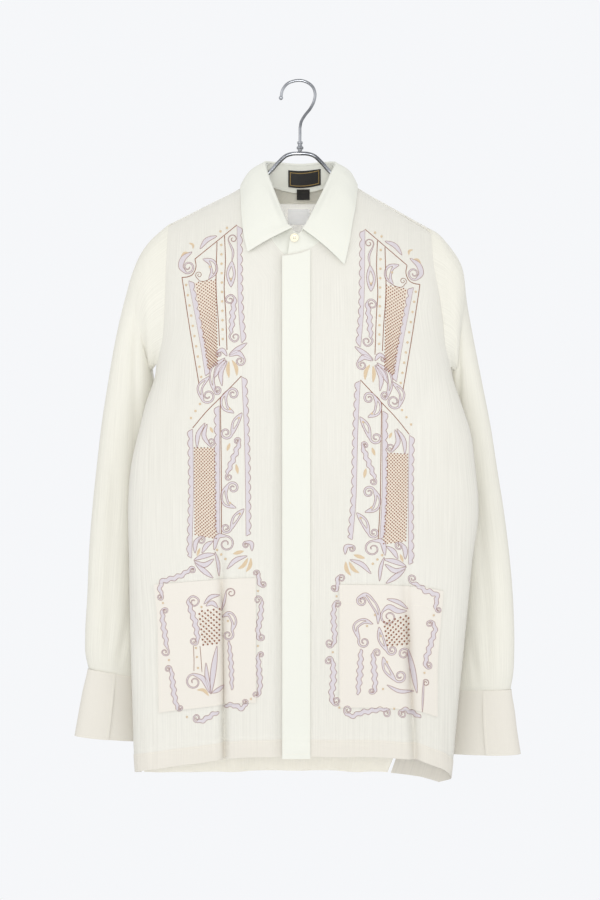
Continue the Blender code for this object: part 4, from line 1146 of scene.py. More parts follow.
collar_points = collar_grid()[::-1, ::-1]
collar = cloth_piece("collar_cloth", collar_points, DOUBLE, COLLAR_CLOTH)
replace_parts(collar, "collar")

# The labels.  A black woven neck label with a plain gold border, its size tag, and a white satin
# care label lower down, all sewn inside the back.  The lettering is left off.
LABEL_ENDS = (-0.0145, 0.0255)
LABEL_RISE = (0.10, 0.78)
LABEL_CLOTH = 0.0004
BORDER = (0.0022, 0.0030)


def grid_at(points, rows, columns):
    """Points of a grid at rows and columns that may lie between its own."""
    rows, columns = np.asarray(rows, float), np.asarray(columns, float)
    low = np.clip(rows.astype(int), 0, points.shape[0] - 2)
    left = np.clip(columns.astype(int), 0, points.shape[1] - 2)
    part, share = (rows - low)[:, None, None], (columns - left)[None, :, None]
    strip = points[low] * (1 - part) + points[low + 1] * part
    return strip[:, left] * (1 - share) + strip[:, left + 1] * share


def label_look(name, ground, shade, border, points):
    """A woven label with a narrow border line, by the distance from its nearest edge."""
    width, height = measured(points[len(points) // 2])[-1], measured(points[:, 0])[-1]
    look = Look(name, specular_ior_level=0.3, sheen_weight=0.1)
    across, along = look.parts(look.place((1, 1, 1), "weave"))
    nearest = across.least(width - across).least(along.least(height - along))
    line = (nearest > BORDER[0]) * (nearest < BORDER[1])
    ribs = ((across + along) * 9000).sine()
    ground = look.blend((0.5 + 0.5 * ribs).clipped(), ground, shade)
    return look.finish(look.blend(line, ground, border), 0.6 + 0.15 * ribs, 0.5 * ribs + line, 0.3, 0.0002)


def neck_label_grid():
    inside = band_points - grid_normals(band_points[:, ::-1])[:, ::-1] * (COLLAR_CLOTH + 0.0007)
    behind = np.flatnonzero((band_at > left_end + 0.01) & (band_at < right_end - 0.01))
    columns = np.interp(np.linspace(*LABEL_ENDS, 25), inside[6, behind, 0], behind)
    return grid_at(inside, np.linspace(*LABEL_RISE, 13) * (len(inside) - 1), columns)


def hanging_label(x_ends, z_ends, off, curl_out):
    """A small label that hangs free inside the back, its foot a little off the cloth."""
    x, z = np.meshgrid(np.linspace(*x_ends, 13), np.linspace(*z_ends, 11))
    points = face_point("back", x, z)
    down = (z_ends[1] - z) / (z_ends[1] - z_ends[0])
    points[..., 1] -= off + curl_out * down ** 2
    return points


neck_label_points = neck_label_grid()
size_tag_points = hanging_label((-0.0040, 0.0120), (-0.1385, -0.1262), 0.0056, 0.0012)
care_label_points = hanging_label((-0.0150, 0.0120), (-0.1680, -0.1490), 0.0030, 0.0016)
for node, points, looks, slot, flat, rest in (
    ("neck_label", neck_label_points, ((38, 36, 34), (24, 23, 22), (150, 124, 70)), "black_label",
     (0.040, 0.021), "collar_band_cloth"),
    ("size_tag", size_tag_points, ((40, 38, 35), (24, 23, 22), (34, 32, 30)), "black_label",
     (0.016, 0.012), "back_cloth"),
    ("care_label", care_label_points, ((254, 254, 254), (250, 250, 251), (250, 250, 251)), "care_label",
     (0.027, 0.019), "back_cloth"),
):
    made = cloth_piece(node + "_woven", points, label_look(node, *looks, points), LABEL_CLOTH)
    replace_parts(made, node)

# The button.  One small cream button closes the band.  It is moulded glossy, with a round rim, a
# dished middle and four holes.
BUTTON_PLACE = (-0.0066, -0.1986)
HOLE_OFF = 0.0012
HOLE_DISC = ((0.0, 0.0013), (0.0005, 0.0013), (0.0005, 0.00134), (0.0, 0.00134))
BUTTON = mm(((0, 0), (4.6, 0), (5, 0.3), (5.2, 0.8), (5.2, 1.3), (5, 1.8),
          (4.6, 2), (4, 2), (3.5, 1.8), (3.1, 1.4), (2.4, 1.3), (0, 1.3)))


def gloss_look(name, light, shade, roughness):
    look = Look(name, coat_weight=0.4, coat_roughness=0.1)
    cloud = look.noise(look.place((320, 320, 320)), 2.0)
    return look.finish(look.blend(cloud, light, shade), roughness + 0.1 * cloud, cloud, 0.05, 0.0003)


_, button_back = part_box("collar_button")
on_band = Matrix.Translation((BUTTON_PLACE[0], button_back.y, BUTTON_PLACE[1]))
on_band = on_band @ Matrix.Rotation(math.pi / 2, 4, "X")
PEARL = gloss_look("button_pearl", (240, 234, 212), (228, 218, 190), 0.25)
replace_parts(turned("band_button", BUTTON, on_band, PEARL), "collar_button")
# Painted shade: the four holes are flat dark discs on the button's dish, standing in for the shade inside the
# holes.
HOLE = gloss_look("button_hole", (120, 104, 80), (92, 78, 58), 0.6)
for k in range(4):
    turn = math.radians(45 + 90 * k)
    spot = Matrix.Translation((HOLE_OFF * math.cos(turn), HOLE_OFF * math.sin(turn), 0.0))
    turned(f"button_hole_{k}", HOLE_DISC, on_band @ spot, HOLE, 12)

# The topstitching.  Fine ivory machine stitches along the collar, placket, pockets, cuffs, yoke and
# hems, a little in from each edge, and across each pocket below its turned top.
STITCH = 0.0021
STITCH_GAP = 0.0008
STITCH_HALF = 0.00017
STITCH_RISE = 0.00016


def lay(data, points, flat, ends):
    """Adds ribbons to a bmesh as one grid, cut apart before each of the columns in ends."""
    rows, columns = points.shape[:2]
    made = point_grid(data, points)
    stitch = data.loops.layers.uv["stitch"]
    for vert, place in zip(made, flat.reshape(-1, 2)):
        for loop in vert.link_loops:
            loop[stitch].uv = place
    bridges = set()
    for end in ends:
        for row in range(rows - 1):
            one, other = made[row * columns + end - 1], made[(row + 1) * columns + end]
            bridges.update(set(one.link_faces) & set(other.link_faces))
    bmesh.ops.delete(data, geom=list(bridges), context="FACES")


def topstitch(name, lines):
    """Rows of machine stitches along lines, each a pair of points and the cloth's normals there."""
    parts = []
    for points, normals in lines:
        run = measured(points)
        starts = np.arange(STITCH_GAP, run[-1] - STITCH, STITCH + STITCH_GAP)
        at = (starts[:, None] + STITCH * np.array([0, 0.5, 1])).ravel()
        centre, normal = read_line(points, run, at), unit(read_line(normals, run, at))
        along = read_line(unit(np.gradient(points, axis=0)), run, at)
        beside = unit(np.cross(normal, along))
        arch = np.tile([0.25, 1.0, 0.25], len(starts))
        parts.append(np.stack([centre + beside * share * STITCH_HALF
                               + normal * (0.00003 + STITCH_RISE * (1 - share ** 2) * arch)[:, None]
                               for share in (-1, 0, 1)]))
    cells = np.concatenate(parts, axis=1)
    data = bmesh.new()
    data.loops.layers.uv.new("stitch")
    flat = np.zeros(cells.shape[:2] + (2,))
    flat[..., 0] = np.arange(cells.shape[1]) * STITCH / 2
    lay(data, cells, flat, range(3, cells.shape[1], 3))
    return new_piece(name, data, SEWING)


def stitch_line(points, normals, row=None, column=None, trim=0.6):
    """A line on a grid along one row or one column, the trim left bare at both ends."""
    rows, columns = (np.linspace(trim, count - 1 - trim, count * 2) if at is None else [at]
                     for at, count in zip((row, column), points.shape))
    return tuple(grid_at(found, rows, columns).reshape(-1, 3) for found in (points, normals))


def sewing_look(name, colour, shade):
    look = Look(name, specular_ior_level=0.3, sheen_weight=0.2)
    uneven = look.noise(look.place((900, 900, 900)), 2.0)
    return look.finish(look.blend(uneven, shade, colour), 0.5 + 0.2 * uneven, uneven, 0.3, 0.0002)


SEWING = sewing_look("sewing_thread", (240, 237, 224), (214, 208, 190))
collar_normals = grid_normals(collar_points)
front_edge = collar_points[:30], collar_normals[:30]
topstitch("collar_stitches", [
    stitch_line(collar_points, collar_normals, row=1.8, trim=1.6),
    stitch_line(*front_edge, column=1.6, trim=1.8),
    stitch_line(*front_edge, column=collar_points.shape[1] - 2.6, trim=1.8),
])
strip = placket_points, grid_normals(placket_points)
topstitch("placket_stitches", [
    stitch_line(*strip, column=0.65, trim=0.5),
    stitch_line(*strip, column=placket_points.shape[1] - 1.65, trim=0.5),
    stitch_line(*strip, row=0.5),
])
for side, word in SIDES:
    points, normals = pocket_grid(side)
    patch = points + normals * POCKET_LIFT, normals
    topstitch(f"pocket_{word}_stitches", [
        stitch_line(*patch, row=0.35), stitch_line(*patch, row=len(points) - 5.2),
        stitch_line(*patch, column=0.6, trim=0.35),
        stitch_line(*patch, column=points.shape[1] - 1.6, trim=0.35),
    ])
    wrist = cuff_points[side], outward(cuff_points[side])
    topstitch(f"cuff_{word}_stitches", [
        stitch_line(*wrist, row=0.5), stitch_line(*wrist, row=CUFF_ROWS - 1.5),
        stitch_line(*wrist, column=1.0), stitch_line(*wrist, column=wrist[0].shape[1] - 2.0),
    ])
    points = front_points[side] + (under_step(front_points[side]) if side < 0 else 0)
    normals = grid_normals(points)
    topstitch(f"hem_{word}_stitches", [stitch_line(points + normals * FOLDED_EDGE, normals, row=1.85)])
normals = grid_normals(back_points[:, ::-1])
yoke_outside = yoke_points[::-1, ::-1]
topstitch("back_stitches", [
    stitch_line(back_points[:, ::-1] + normals * FOLDED_EDGE, normals, row=1.85),
    stitch_line(yoke_outside, grid_normals(yoke_outside), row=0.7),
])

# The embroidery.  Two framed columns on each front and a pot of flourishes on each pocket, machine
# stitched in lilac, tan and rust thread over a pale ground.  Its chart is the shirt seen from the
# front in steps of 1.22 mm: u steps out from the middle, and v steps down, the hook at row 82.
CHART_TOP = 82
CHART_SHIFT = 0.0012
LEFT_DROP, LEFT_TILT = 4, 0.05
LOW_START, LOW_RUN, LOW_CLOSER = 480, 90, 6
CURL_TURNS = 1.3
CURL_SHRINK = 0.78
RIB_PITCH = 0.00045
THREAD_HALF = 0.27
RUST_HALF = 0.40
LATTICE_HALF = 0.24
HEART_HALF = 0.22
THREAD_RISE = 0.00035
FILL_RISE = 0.00022
KNOT_RISE = 0.0004
OFF_CLOTH = 0.00008
GROUND_LIFT = 0.0001
ON_STITCHES = 0.0002
SHORTEST = 1.5
WAVE_LENGTH = 8.0
SCALLOP_LENGTH = 9.6
SCALLOP_DEPTH = 5.2
BROAD = 2.8
POINTED, CURLED = 0.04, 0.3
SWAY = 0.36
HEART = 0.52
LATTICE_KNOT, POT_KNOT = 0.72, 1.0
ROW_DOT, HEART_DOT, POCKET_DOT = 1.25, 1.15, 1.1
RUST_LINES = (
    ((64, 225), (85, 242), (106, 259)),
    ((106, 259), (105, 267), (109, 275), (114, 277), (119, 277.5)),
    ((119, 277.5), (111, 330), (102, 384)),
    ((76.4, 236), (75.6, 262), (76.8, 288), (75.4, 311), (74, 350)),
    ((84, 242), (84.8, 290), (82.4, 325), (81.5, 346)),
    ((59.5, 376), (81, 398), (94, 411), (108.3, 428)),
    ((80.7, 398), (79.7, 470), (79.5, 534)),
)
SCALLOPS = (
    # way the scallops face: 1 out, -1 in; the straight edge
    (-1, ((63.8, 226), (63.4, 268), (62.6, 305), (59.6, 343))),
    (-1, ((112.4, 281), (106, 314), (100, 347), (95.6, 376))),
    (-1, ((59.2, 377), (56.8, 426), (55.6, 474), (54.9, 536))),
    (1, ((81.8, 406), (81.4, 470), (81.2, 534))),
    (1, ((108.4, 429), (107.6, 490), (109.4, 558))),
)
DOT_ROWS = (
    # first dot, last dot, number
    ((79.7, 245), (78.2, 339), 11),
    ((114.8, 285), (99.8, 377), 10),
    ((101, 404), (110, 418), 3),
    ((74, 228), (80.5, 231.5), 2),
    ((84, 550), (75.5, 559), 3),
)
LATTICES = (
    # inner top, outer top, outer bottom, inner bottom, step between dots
    ((85.5, 280), (106.3, 283), (93.4, 370), (83.6, 364), 3.3),
    ((86.8, 448), (106.6, 448), (106.0, 535), (85.0, 539), 3.4),
)
LEAVES = (
    # half width, points, curl's middle at the end, at the start, whether it is wavy
    (0.9, ((72, 242), (68, 252), (69, 261)), None, (68, 239)),
    (4.4, ((69, 261), (70, 274), (70, 287))),
    (2.4, ((66, 298), (68, 311), (69, 323), (70, 333)), (66, 337), (71, 300), True),
    (3.8, ((98, 259), (89, 263), (87, 271), (92, 279))),
    (2.2, ((101, 249), (94, 240), (84, 236))),
    (2.6, ((109, 252), (118, 259), (120, 267), (115, 273)), (113, 267)),
    (2.3, ((72, 355), (63, 349), (54, 343))),
    (2.5, ((72, 356), (63, 353), (57, 358)), (61, 361)),
    (2.0, ((74, 356), (79, 350), (84, 352)), (82, 354)),
    (2.8, ((76, 358), (87, 368), (89, 381), (85, 394)), (84, 390)),
    (2.6, ((75, 360), (82, 368), (87, 378))),
    (2.3, ((74, 361), (80, 372), (79, 386))),
    (2.9, ((91, 376), (101, 388), (98, 401)), (93, 396)),
    (3.4, ((73, 391), (77, 398), (76, 407), (67, 413)), None, (68, 394)),
    (3.4, ((59, 413), (65, 422), (69, 434)), (75, 433)),
    (2.4, ((61, 440), (65, 452), (70, 464), (74, 474)), (72, 477), (64, 441), True),
    (3.4, ((73, 485), (77, 494), (75, 503), (65, 508)), None, (68, 488)),
    (3.4, ((57, 509), (65, 518), (70, 529)), (75, 528)),
    (2.1, ((104, 448), (103, 435), (96, 423))),
    (2.1, ((91, 446), (97, 436), (94, 424)), None, (90, 442)),
    (2.4, ((107, 560), (97, 556), (86, 554))),
    (2.4, ((107, 561), (97, 565), (87, 559))),
    (2.4, ((106, 563), (97, 571), (88, 578))),
    (2.2, ((106, 553), (105, 542), (99, 536)), (100, 540)),
    (2.2, ((99, 553), (94, 545), (88, 541))),
    (2.4, ((87, 550), (82, 536), (75, 536)), (75, 544)),
    (1.6, ((86, 552), (83, 563), (82, 576))),
    (2.0, ((49, 551), (50, 543), (56, 542)), (55, 545)),
    (2.2, ((54, 556), (65, 560), (74, 569))),
)
TAN_LEAVES = (
    (1.4, ((112, 253), (116, 253), (120, 257))),
    (1.2, ((108, 249), (108, 245), (112, 243))),
    (1.9, ((72, 361), (73, 369), (72, 378))),
    (1.9, ((69, 360), (65, 367), (64, 376))),
    (1.6, ((71, 443), (74, 451))),
    (1.6, ((65, 464), (63, 474))),
    (1.4, ((91, 427), (88, 433))),
    (1.4, ((104, 556), (101, 548))),
    (1.8, ((57, 551), (68, 554))),
    (1.9, ((53, 558), (58, 566), (63, 569))),
    (1.9, ((50, 558), (51, 566), (55, 572))),
)
RUST_CURL = (((86, 273), (93, 280), (101, 281), (105, 277)), (102, 275))
POCKET_FRAMES = {
    -1: (
        (2.3, ((108, 567), (119, 575), (130, 579), (139, 582), (141, 590), (138, 597)), (141, 597),
               (109, 570), True),
        (2.3, ((139, 610), (138, 622), (136, 635), (134, 648)), (136, 652), (136, 611), True),
        (2.3, ((130, 668), (128, 685), (126, 699), (123, 710)), (121, 708), (133, 669), True),
        (2.3, ((104, 722), (97, 720), (89, 715), (82, 712)), None, (104, 718), True),
        (2.3, ((77, 706), (68, 705), (59, 708), (54, 704)), (56, 702), None, True),
        (1.9, ((42, 573), (42, 582), (39, 587)), (38, 584), (45, 573), True),
        (2.3, ((39, 601), (41, 619), (43, 633), (42, 640)), (40, 637), (43, 600), True),
        (2.3, ((43, 655), (42, 670), (41, 685), (42, 695)), (45, 694), (40, 655), True),
    ),
    1: (
        (2.4, ((111, 583), (118, 586), (125, 591), (132, 593), (136, 596), (135, 603), (134.6, 609)),
               (137.6, 609.5), (111.6, 578.6), True),
        (2.4, ((132, 622), (134, 628), (131.5, 638), (128, 650), (124.5, 663), (125.5, 668)),
               (127.6, 665), (129, 624), True),
        (0.8, ((122.8, 680), (122, 695), (121.4, 712)), None, (124.8, 683)),
        (2.2, ((99.6, 710.2), (104, 709.6), (110, 712), (115, 714.5),
               (120, 717.5)), None, (101.8, 713.8), True),
        (2.3, ((44.4, 713.5), (50, 716), (60, 712.8), (70, 711), (80, 709.4), (87, 709.5)),
               (85.4, 713.2), (47, 710), True),
        (1.9, ((37.5, 576), (36.3, 582), (36.5, 588), (34.6, 591)), (33.4, 588), (40.4, 578.4), True),
        (2.3, ((33.8, 602), (32.6, 612), (33, 627), (33.6, 640), (31.5, 646.5)), (28.8, 643.2),
               (36.6, 604.3), True),
        (2.6, ((31, 658.4), (32.3, 668), (32, 684), (30.6, 697), (32, 704.2)), (35, 701), (28, 661), True),
    ),
}
POT_LEAVES = {
    -1: (
        (2.5, ((113, 600), (110, 610), (106, 622), (104, 633), (103, 642)), (107, 641), (107, 602), True),
        (2.0, ((97, 604), (90, 597), (81, 595))),
        (2.2, ((95, 606), (89, 603), (83, 608))),
        (1.2, ((75, 592), (77, 603), (80, 611)), None, (70, 593)),
        (3.0, ((79, 617), (72, 614), (67, 621), (69, 631)), (73, 635)),
        (2.0, ((72, 641), (70, 663), (69, 690)), None, None, True),
        (2.0, ((90, 694), (94, 677), (95, 663))),
        (2.7, ((90, 694), (88, 674), (84, 646))),
        (2.5, ((91, 693), (99, 678), (108, 674)), (107, 682)),
        (2.0, ((89, 693), (83, 690), (77, 685))),
    ),
    1: (
        (3.0, ((57, 598), (64, 595), (71, 602), (77, 614), (77, 624)), None, (61, 601)),
        (2.0, ((86, 599), (97, 602), (107, 609))),
        (2.6, ((82, 611), (87, 607), (97, 611), (106, 611)), None, (88, 617)),
        (3.0, ((72, 624), (63, 621), (55, 626), (58, 639)), (63, 642)),
        (3.2, ((78, 627), (80, 639), (86, 651)), (91, 650)),
        (2.6, ((60, 649), (59, 671), (57, 695)), None, None, True),
        (2.4, ((72, 653), (73, 668), (74, 682), (74, 692)), (71, 691), (76, 653), True),
        (3.4, ((82, 657), (85, 668), (94, 680)), (99, 676)),
        (2.6, ((107, 650), (111, 666), (116, 693)), None, (103, 654)),
        (1.8, ((86, 685), (98, 691), (113, 691))),
    ),
}
POT_TAN_LEAVES = {-1: ((1.7, ((92, 696), (98, 690), (104, 690))),), 1: ()}
POT_RUST_LINES = {-1: (((107.5, 646), (107, 658), (107, 671)), ((101, 646), (100, 658), (99, 672))), 1: ()}
POT_LATTICES = {
    -1: ((81.5, 609), (103, 611.5), (98.5, 645), (82, 643), 5.2),
    1: ((83, 622), (108.5, 615), (109, 646), (87, 647), 5.2),
}
POCKET_DOTS = {
    -1: ((138, 603), (132, 660), (114, 717), (50, 699), (43, 591), (43, 646), (105, 648), (104, 657),
         (103, 668), (99.5, 607), (73, 621)),
    1: ((132.7, 615.3), (123.5, 672.8), (93.1, 708.7), (38.3, 707.6), (35.6, 596.3), (31.8, 652.2),
        (74, 615), (80, 636), (86, 662), (82, 689), (66, 626)),
}
PAISLEY_HEARTS = ((70, 279), (91, 267), (71, 409), (62, 418), (71, 503), (61, 514))


def thread_look(name, colour, shade):
    """Satin-stitched thread: fine ribs across each ribbon, and a soft sheen."""
    look = Look(name, specular_ior_level=0.35, sheen_weight=0.2, sheen_roughness=0.4)
    ribs = look.parts(look.place((2 * math.pi / RIB_PITCH, 1, 1), "stitch"))[0].sine()
    uneven = look.noise(look.place((420, 420, 420)), 2.0)
    colour = look.blend((0.5 + 0.28 * ribs + 0.5 * (uneven - 0.5)).clipped(), shade, colour)
    return look.finish(colour, 0.46 + 0.2 * uneven, ribs * 0.6 + uneven, 0.35, 0.0003)


THREADS = {colour: thread_look(colour + "_thread", *shades) for colour, shades in {
    "outline": ((170, 136, 128), (148, 112, 104)),
    "rust": ((156, 107, 83), (132, 85, 63)),
    "lilac": ((211, 205, 208), (200, 192, 196)),
    "tan": ((214, 194, 164), (198, 174, 140)),
    "ground": ((229, 219, 204), (220, 206, 188)),
}.items()}


def cloth_tree(*pieces):
    """A search tree over the faces of finished pieces."""
    places, faces = [], []
    for piece in pieces:
        first = len(places)
        places += [vert.co for vert in piece.data.vertices]
        faces += [[first + index for index in face.vertices] for face in piece.data.polygons]
    return BVHTree.FromPolygons(places, faces)


FRONT_CLOTH = {side: cloth_tree(front_pieces[side], pocket_pieces[side]) for side in (-1, 1)}


def on_front(side, chart, lift, own=False):
    """Places of the chart on a front or its pocket, lifted off the cloth.  The column at +X hangs a
    little lower, and its foot closer in; own leaves that out."""
    u, v = chart[..., 0], chart[..., 1]
    if side > 0 and not own:
        low = step((v - LOW_START) / LOW_RUN)
        u, v = u - low * LOW_CLOSER * (135 - u) / 93, v + LEFT_DROP + LEFT_TILT * (u - 60)
    eye = Vector((0, -CAMERA_DISTANCE, CAMERA_HEIGHT))
    seen = np.stack([side * u * PIXEL + CHART_SHIFT, 0 * u, (CHART_TOP - v) * PIXEL], axis=-1)
    points = np.zeros(seen.shape)
    for index in np.ndindex(u.shape):
        place, normal, _, _ = FRONT_CLOTH[side].ray_cast(eye, Vector(seen[index]) - eye)
        if place:
            points[index] = place + normal * float(lift[index])
    return points


class Stitching:
    """The stitches of one colour on one front, gathered on the chart and laid all at once."""

    def __init__(self):
        self.grids = {}

    def add(self, chart, lift, across, along, own):
        cells = [chart[..., 0], chart[..., 1], lift, along[None, :], across[:, None]]
        cells = np.stack(np.broadcast_arrays(*cells), axis=-1)
        self.grids.setdefault((len(cells), own), []).append(cells)

    def ribbon(self, line, left, right, shares, own, rise=FILL_RISE, base=0.0):
        """A crowned ribbon along a line of the chart between shares of its two half widths."""
        forward = unit(np.gradient(line, axis=0))
        beside = np.stack([-forward[:, 1], forward[:, 0]], axis=-1)
        shares = np.asarray(shares, float).reshape(len(shares), -1)
        shares = np.broadcast_to(shares, (len(shares), len(line)))
        reach = np.where(shares < 0, left, right) * shares
        middle = 0.5 * (shares[:1] + shares[-1:])
        half = np.maximum(0.5 * (shares[-1:] - shares[:1]), 1e-6)
        crown = 1 - ((shares - middle) / half) ** 2
        chart = line[None] + beside[None] * reach[..., None]
        self.add(chart, base + OFF_CLOTH + rise * crown, shares[:, len(line) // 2] * PIXEL,
                 measured(line) * PIXEL, own)
        return chart[0], chart[-1]

    def thread(self, line, own=False, half=THREAD_HALF):
        width = np.full(len(line), half)
        self.ribbon(line, width, width, (-1, 0, 1), own, THREAD_RISE)

    def dot(self, place, radius, base=0.0, own=False, fine=True):
        """A small round knot of thread."""
        along = np.linspace(-1, 1, 7 if fine else 5)
        line = np.array(place, float) + np.stack([0 * along, np.sin(along * math.pi / 2)], axis=-1) * radius
        width = np.maximum(radius * np.cos(along * math.pi / 2), 0.04)
        self.ribbon(line, width, width, np.linspace(-1, 1, 5 if fine else 3), own, KNOT_RISE, base + 0.00005)

    def sew(self, name, side, look):
        data = bmesh.new()
        data.loops.layers.uv.new("stitch")
        for (_, own), found in self.grids.items():
            cells = np.concatenate(found, axis=1)[::-side]
            points = on_front(side, cells[..., :2], cells[..., 2], own)
            lay(data, points, cells[..., 3:], np.cumsum([part.shape[1] for part in found])[:-1])
        return new_piece(name, data, look)


def smooth_line(points, spacing=0.9):
    """A smooth curve through points of the chart, one place for every step of spacing."""
    points = np.array(points, float)
    knots = measured(points)
    return hermite(knots, points, np.linspace(0, knots[-1], max(3, int(knots[-1] / spacing) + 1)))


def curl(start, direction, middle):
    """A spiral from the start round its middle, turning the way the line already runs."""
    arm = start - np.array(middle, float)
    hand = 1 if arm[0] * direction[1] - arm[1] * direction[0] > 0 else -1
    radius = max(np.linalg.norm(arm), 2.0)
    share = np.linspace(0, 1, 22)[1:]
    turn = math.atan2(arm[1], arm[0]) + hand * CURL_TURNS * 2 * math.pi * share
    shrink = radius * (1 - CURL_SHRINK * share)
    return middle + np.stack([np.cos(turn) * shrink, np.sin(turn) * shrink], axis=-1)


def curled(points, end=None, start=None):
    """A line through the points, with the curls before and after it."""
    body = smooth_line(points)
    head = curl(body[0], body[0] - body[1], start)[::-1] if start else body[:0]
    tail = curl(body[-1], body[-1] - body[-2], end) if end else body[:0]
    return head, body, tail


def flourish(stitched, half, points, end=None, start=None, wavy=False, fill="lilac", own=False):
    """A leaf, drop or wavy band in satin stitch with an outline and curls at its ends.  A broad
    leaf stays bare in its heart, with an inner outline round it."""
    head, body, tail = curled(points, end, start)
    line = np.concatenate([head, body, tail])
    share = np.linspace(0, 1, len(body))
    least = np.interp(share, [0, 1], [CURLED if start else POINTED, CURLED if end else POINTED])
    width = half * (least + (1 - least) * np.sin(math.pi * share) ** (0.35 if wavy else 0.8))
    width = np.concatenate([np.linspace(0.1, CURLED, len(head)) * half, width,
                            np.linspace(CURLED, 0.1, len(tail)) * half])
    sway = SWAY * wavy * np.sin(measured(line) * 2 * math.pi / WAVE_LENGTH)
    left, right = width * (1 + sway), width * (1 - sway)
    if half < BROAD or wavy:
        one, other = stitched[fill].ribbon(line, left, right, np.linspace(-1, 1, 5), own)
    else:
        heart = np.zeros(len(line))
        heart[len(head):len(head) + len(body)] = HEART * np.sin(math.pi * step((share - 0.12) / 0.76)) ** 0.7
        rim = 1 + 0 * heart
        one, inner = stitched[fill].ribbon(line, left, right, np.stack([-rim, -(1 + heart) / 2, -heart]), own)
        inside, other = stitched[fill].ribbon(line, left, right, np.stack([heart, (1 + heart) / 2, rim]), own)
        hollow = np.flatnonzero(heart > 0.12)
        ring = np.concatenate([inner[hollow], inside[hollow][::-1], inner[hollow[:2]]])
        stitched["outline"].thread(ring, own, HEART_HALF)
    if fill == "lilac":
        stitched["outline"].thread(np.concatenate([one, other[::-1], one[:2]]), own)


def scalloped(stitched, facing, edge):
    """A lilac band with one straight edge and one of round scallops."""
    line = smooth_line(edge)
    run = measured(line)
    swell = np.abs(np.sin(math.pi * run / SCALLOP_LENGTH)) ** 0.8
    round_end = step(run / 2.5) * step((run[-1] - run) / 2.5)
    depth = SCALLOP_DEPTH * (0.52 + 0.48 * swell) * (0.15 + 0.85 * round_end)
    none = np.zeros(len(line))
    near, far = (depth, none) if facing > 0 else (none, depth)
    for edge in stitched["lilac"].ribbon(line, near, far, np.linspace(-1, 1, 7), False):
        stitched["outline"].thread(edge)


def lattice(stitched, inner_top, outer_top, outer_foot, inner_foot, pitch, own=False):
    """A block of crossed threads with a rust knot at each crossing.  A pot's has no ground."""
    corners = np.array([inner_top, outer_top, outer_foot, inner_foot], float)
    top, outer, foot, inner = np.linalg.norm(np.roll(corners, -1, axis=0) - corners, axis=1)
    width, height = 0.5 * (top + foot), 0.5 * (inner + outer)

    def at(across, down):
        a, d = (np.asarray(across) / width)[..., None], (np.asarray(down) / height)[..., None]
        upper = corners[0] + (corners[1] - corners[0]) * a
        return upper + (corners[3] + (corners[2] - corners[3]) * a - upper) * d

    if not own:
        down, across = np.meshgrid(np.linspace(0, height, 72), np.linspace(width, 0, 24))
        lift = np.full(across.shape, GROUND_LIFT)
        stitched["ground"].add(at(across, down), lift, across[:, 0] * PIXEL, down[0] * PIXEL, own)
    for lean, first, last in ((1, -height, width), (-1, 0, width + height)):
        for offset in np.arange(first, last, pitch):
            if lean > 0:
                start, stop = max(0, -offset), min(height, width - offset)
            else:
                start, stop = max(0, offset - width), min(height, offset)
            if stop - start > SHORTEST:
                down = np.linspace(start, stop, max(3, int((stop - start) / SHORTEST)))
                stitched["ground"].thread(at(offset + lean * down, down), own, LATTICE_HALF)
    for row in range(int(2 * height / pitch) + 1):
        down = row * pitch / 2
        for across in np.arange((row % 2) * pitch / 2, width, pitch):
            stitched["rust"].dot(at(across, down), POT_KNOT if own else LATTICE_KNOT, ON_STITCHES, own, False)


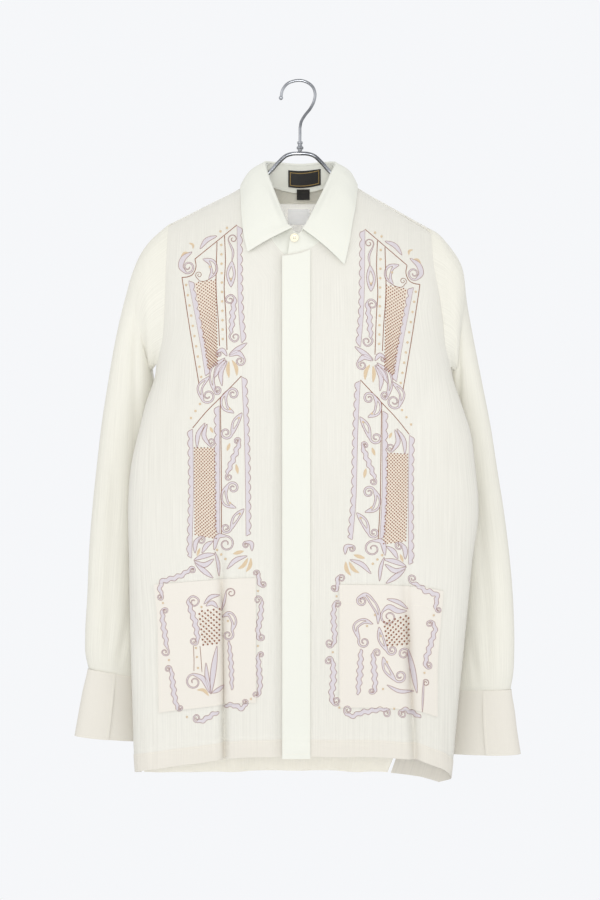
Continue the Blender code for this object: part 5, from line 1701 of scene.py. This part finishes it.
def embroider(side, word):
    stitched = {colour: Stitching() for colour in THREADS}
    for line in RUST_LINES:
        stitched["rust"].thread(smooth_line(line), False, RUST_HALF)
    for facing, edge in SCALLOPS:
        scalloped(stitched, facing, edge)
    for block in LATTICES:
        lattice(stitched, *block)
    stitched["rust"].thread(np.concatenate(curled(*RUST_CURL)))
    for row in LEAVES:
        flourish(stitched, *row)
    for row in TAN_LEAVES:
        flourish(stitched, *row, fill="tan")
    for row in POCKET_FRAMES[side] + POT_LEAVES[side]:
        flourish(stitched, *row, own=True)
    for row in POT_TAN_LEAVES[side]:
        flourish(stitched, *row, fill="tan", own=True)
    for line in POT_RUST_LINES[side]:
        stitched["rust"].thread(smooth_line(line), True)
    lattice(stitched, *POT_LATTICES[side], own=True)
    for first, last, count in DOT_ROWS:
        for share in np.linspace(0, 1, count):
            stitched["tan"].dot(np.array(first) + (np.array(last) - first) * share, ROW_DOT)
    for place in PAISLEY_HEARTS:
        stitched["tan"].dot(place, HEART_DOT, ON_STITCHES)
    for place in POCKET_DOTS[side]:
        stitched["tan"].dot(place, POCKET_DOT, ON_STITCHES, True)
    for colour, found in stitched.items():
        found.sew(f"{word}_{colour}_stitches", side, THREADS[colour])


for side, word in SIDES:
    embroider(side, word)

# The stage.  A pale studio: an even pale world, three soft lamps and a plain floor.  The front lamp
# stands behind the camera and reaches into the neck.
FLOOR_DROP = 0.42


def lamp(name, place, energy, size):
    made = bpy.data.objects.new(name, bpy.data.lights.new(name, "AREA"))
    made.data.energy = energy
    made.data.size = size
    made.location = place
    aim = Vector((0, 0, CAMERA_HEIGHT)) - Vector(place)
    made.rotation_euler = aim.to_track_quat("-Z", "Y").to_euler()
    bpy.context.scene.collection.objects.link(made)


lamp("key", (-1.5, -2.2, 0.7), energy=7, size=1.6)
lamp("fill", (1.7, -1.9, 0.1), energy=3, size=2.0)
lamp("front", (0.0, -2.5, -0.45), energy=20, size=0.8)

world = bpy.data.worlds.new("studio")
world.use_nodes = True
world.node_tree.nodes["Background"].inputs["Color"].default_value = (0.92, 0.93, 0.95, 1)
world.node_tree.nodes["Background"].inputs["Strength"].default_value = 1.0
bpy.context.scene.world = world
bpy.context.scene.view_settings.view_transform = "Standard"

data = bmesh.new()
bmesh.ops.create_grid(data, x_segments=2, y_segments=2, size=1.1,
                      matrix=Matrix.Translation((0, -0.2, cad_low.z - FLOOR_DROP)))
floor_mesh = bpy.data.meshes.new("floor")
data.to_mesh(floor_mesh)
data.free()
floor = bpy.data.objects.new("floor", floor_mesh)
bpy.context.scene.collection.objects.link(floor)
floor_look = Look("pale_floor", roughness=0.7)
cloud = floor_look.noise(floor_look.place((3, 3, 3)))
floor_look.set("Base Color", floor_look.blend(cloud, (214, 215, 217), (222, 223, 225)))
floor_mesh.materials.append(floor_look.material)
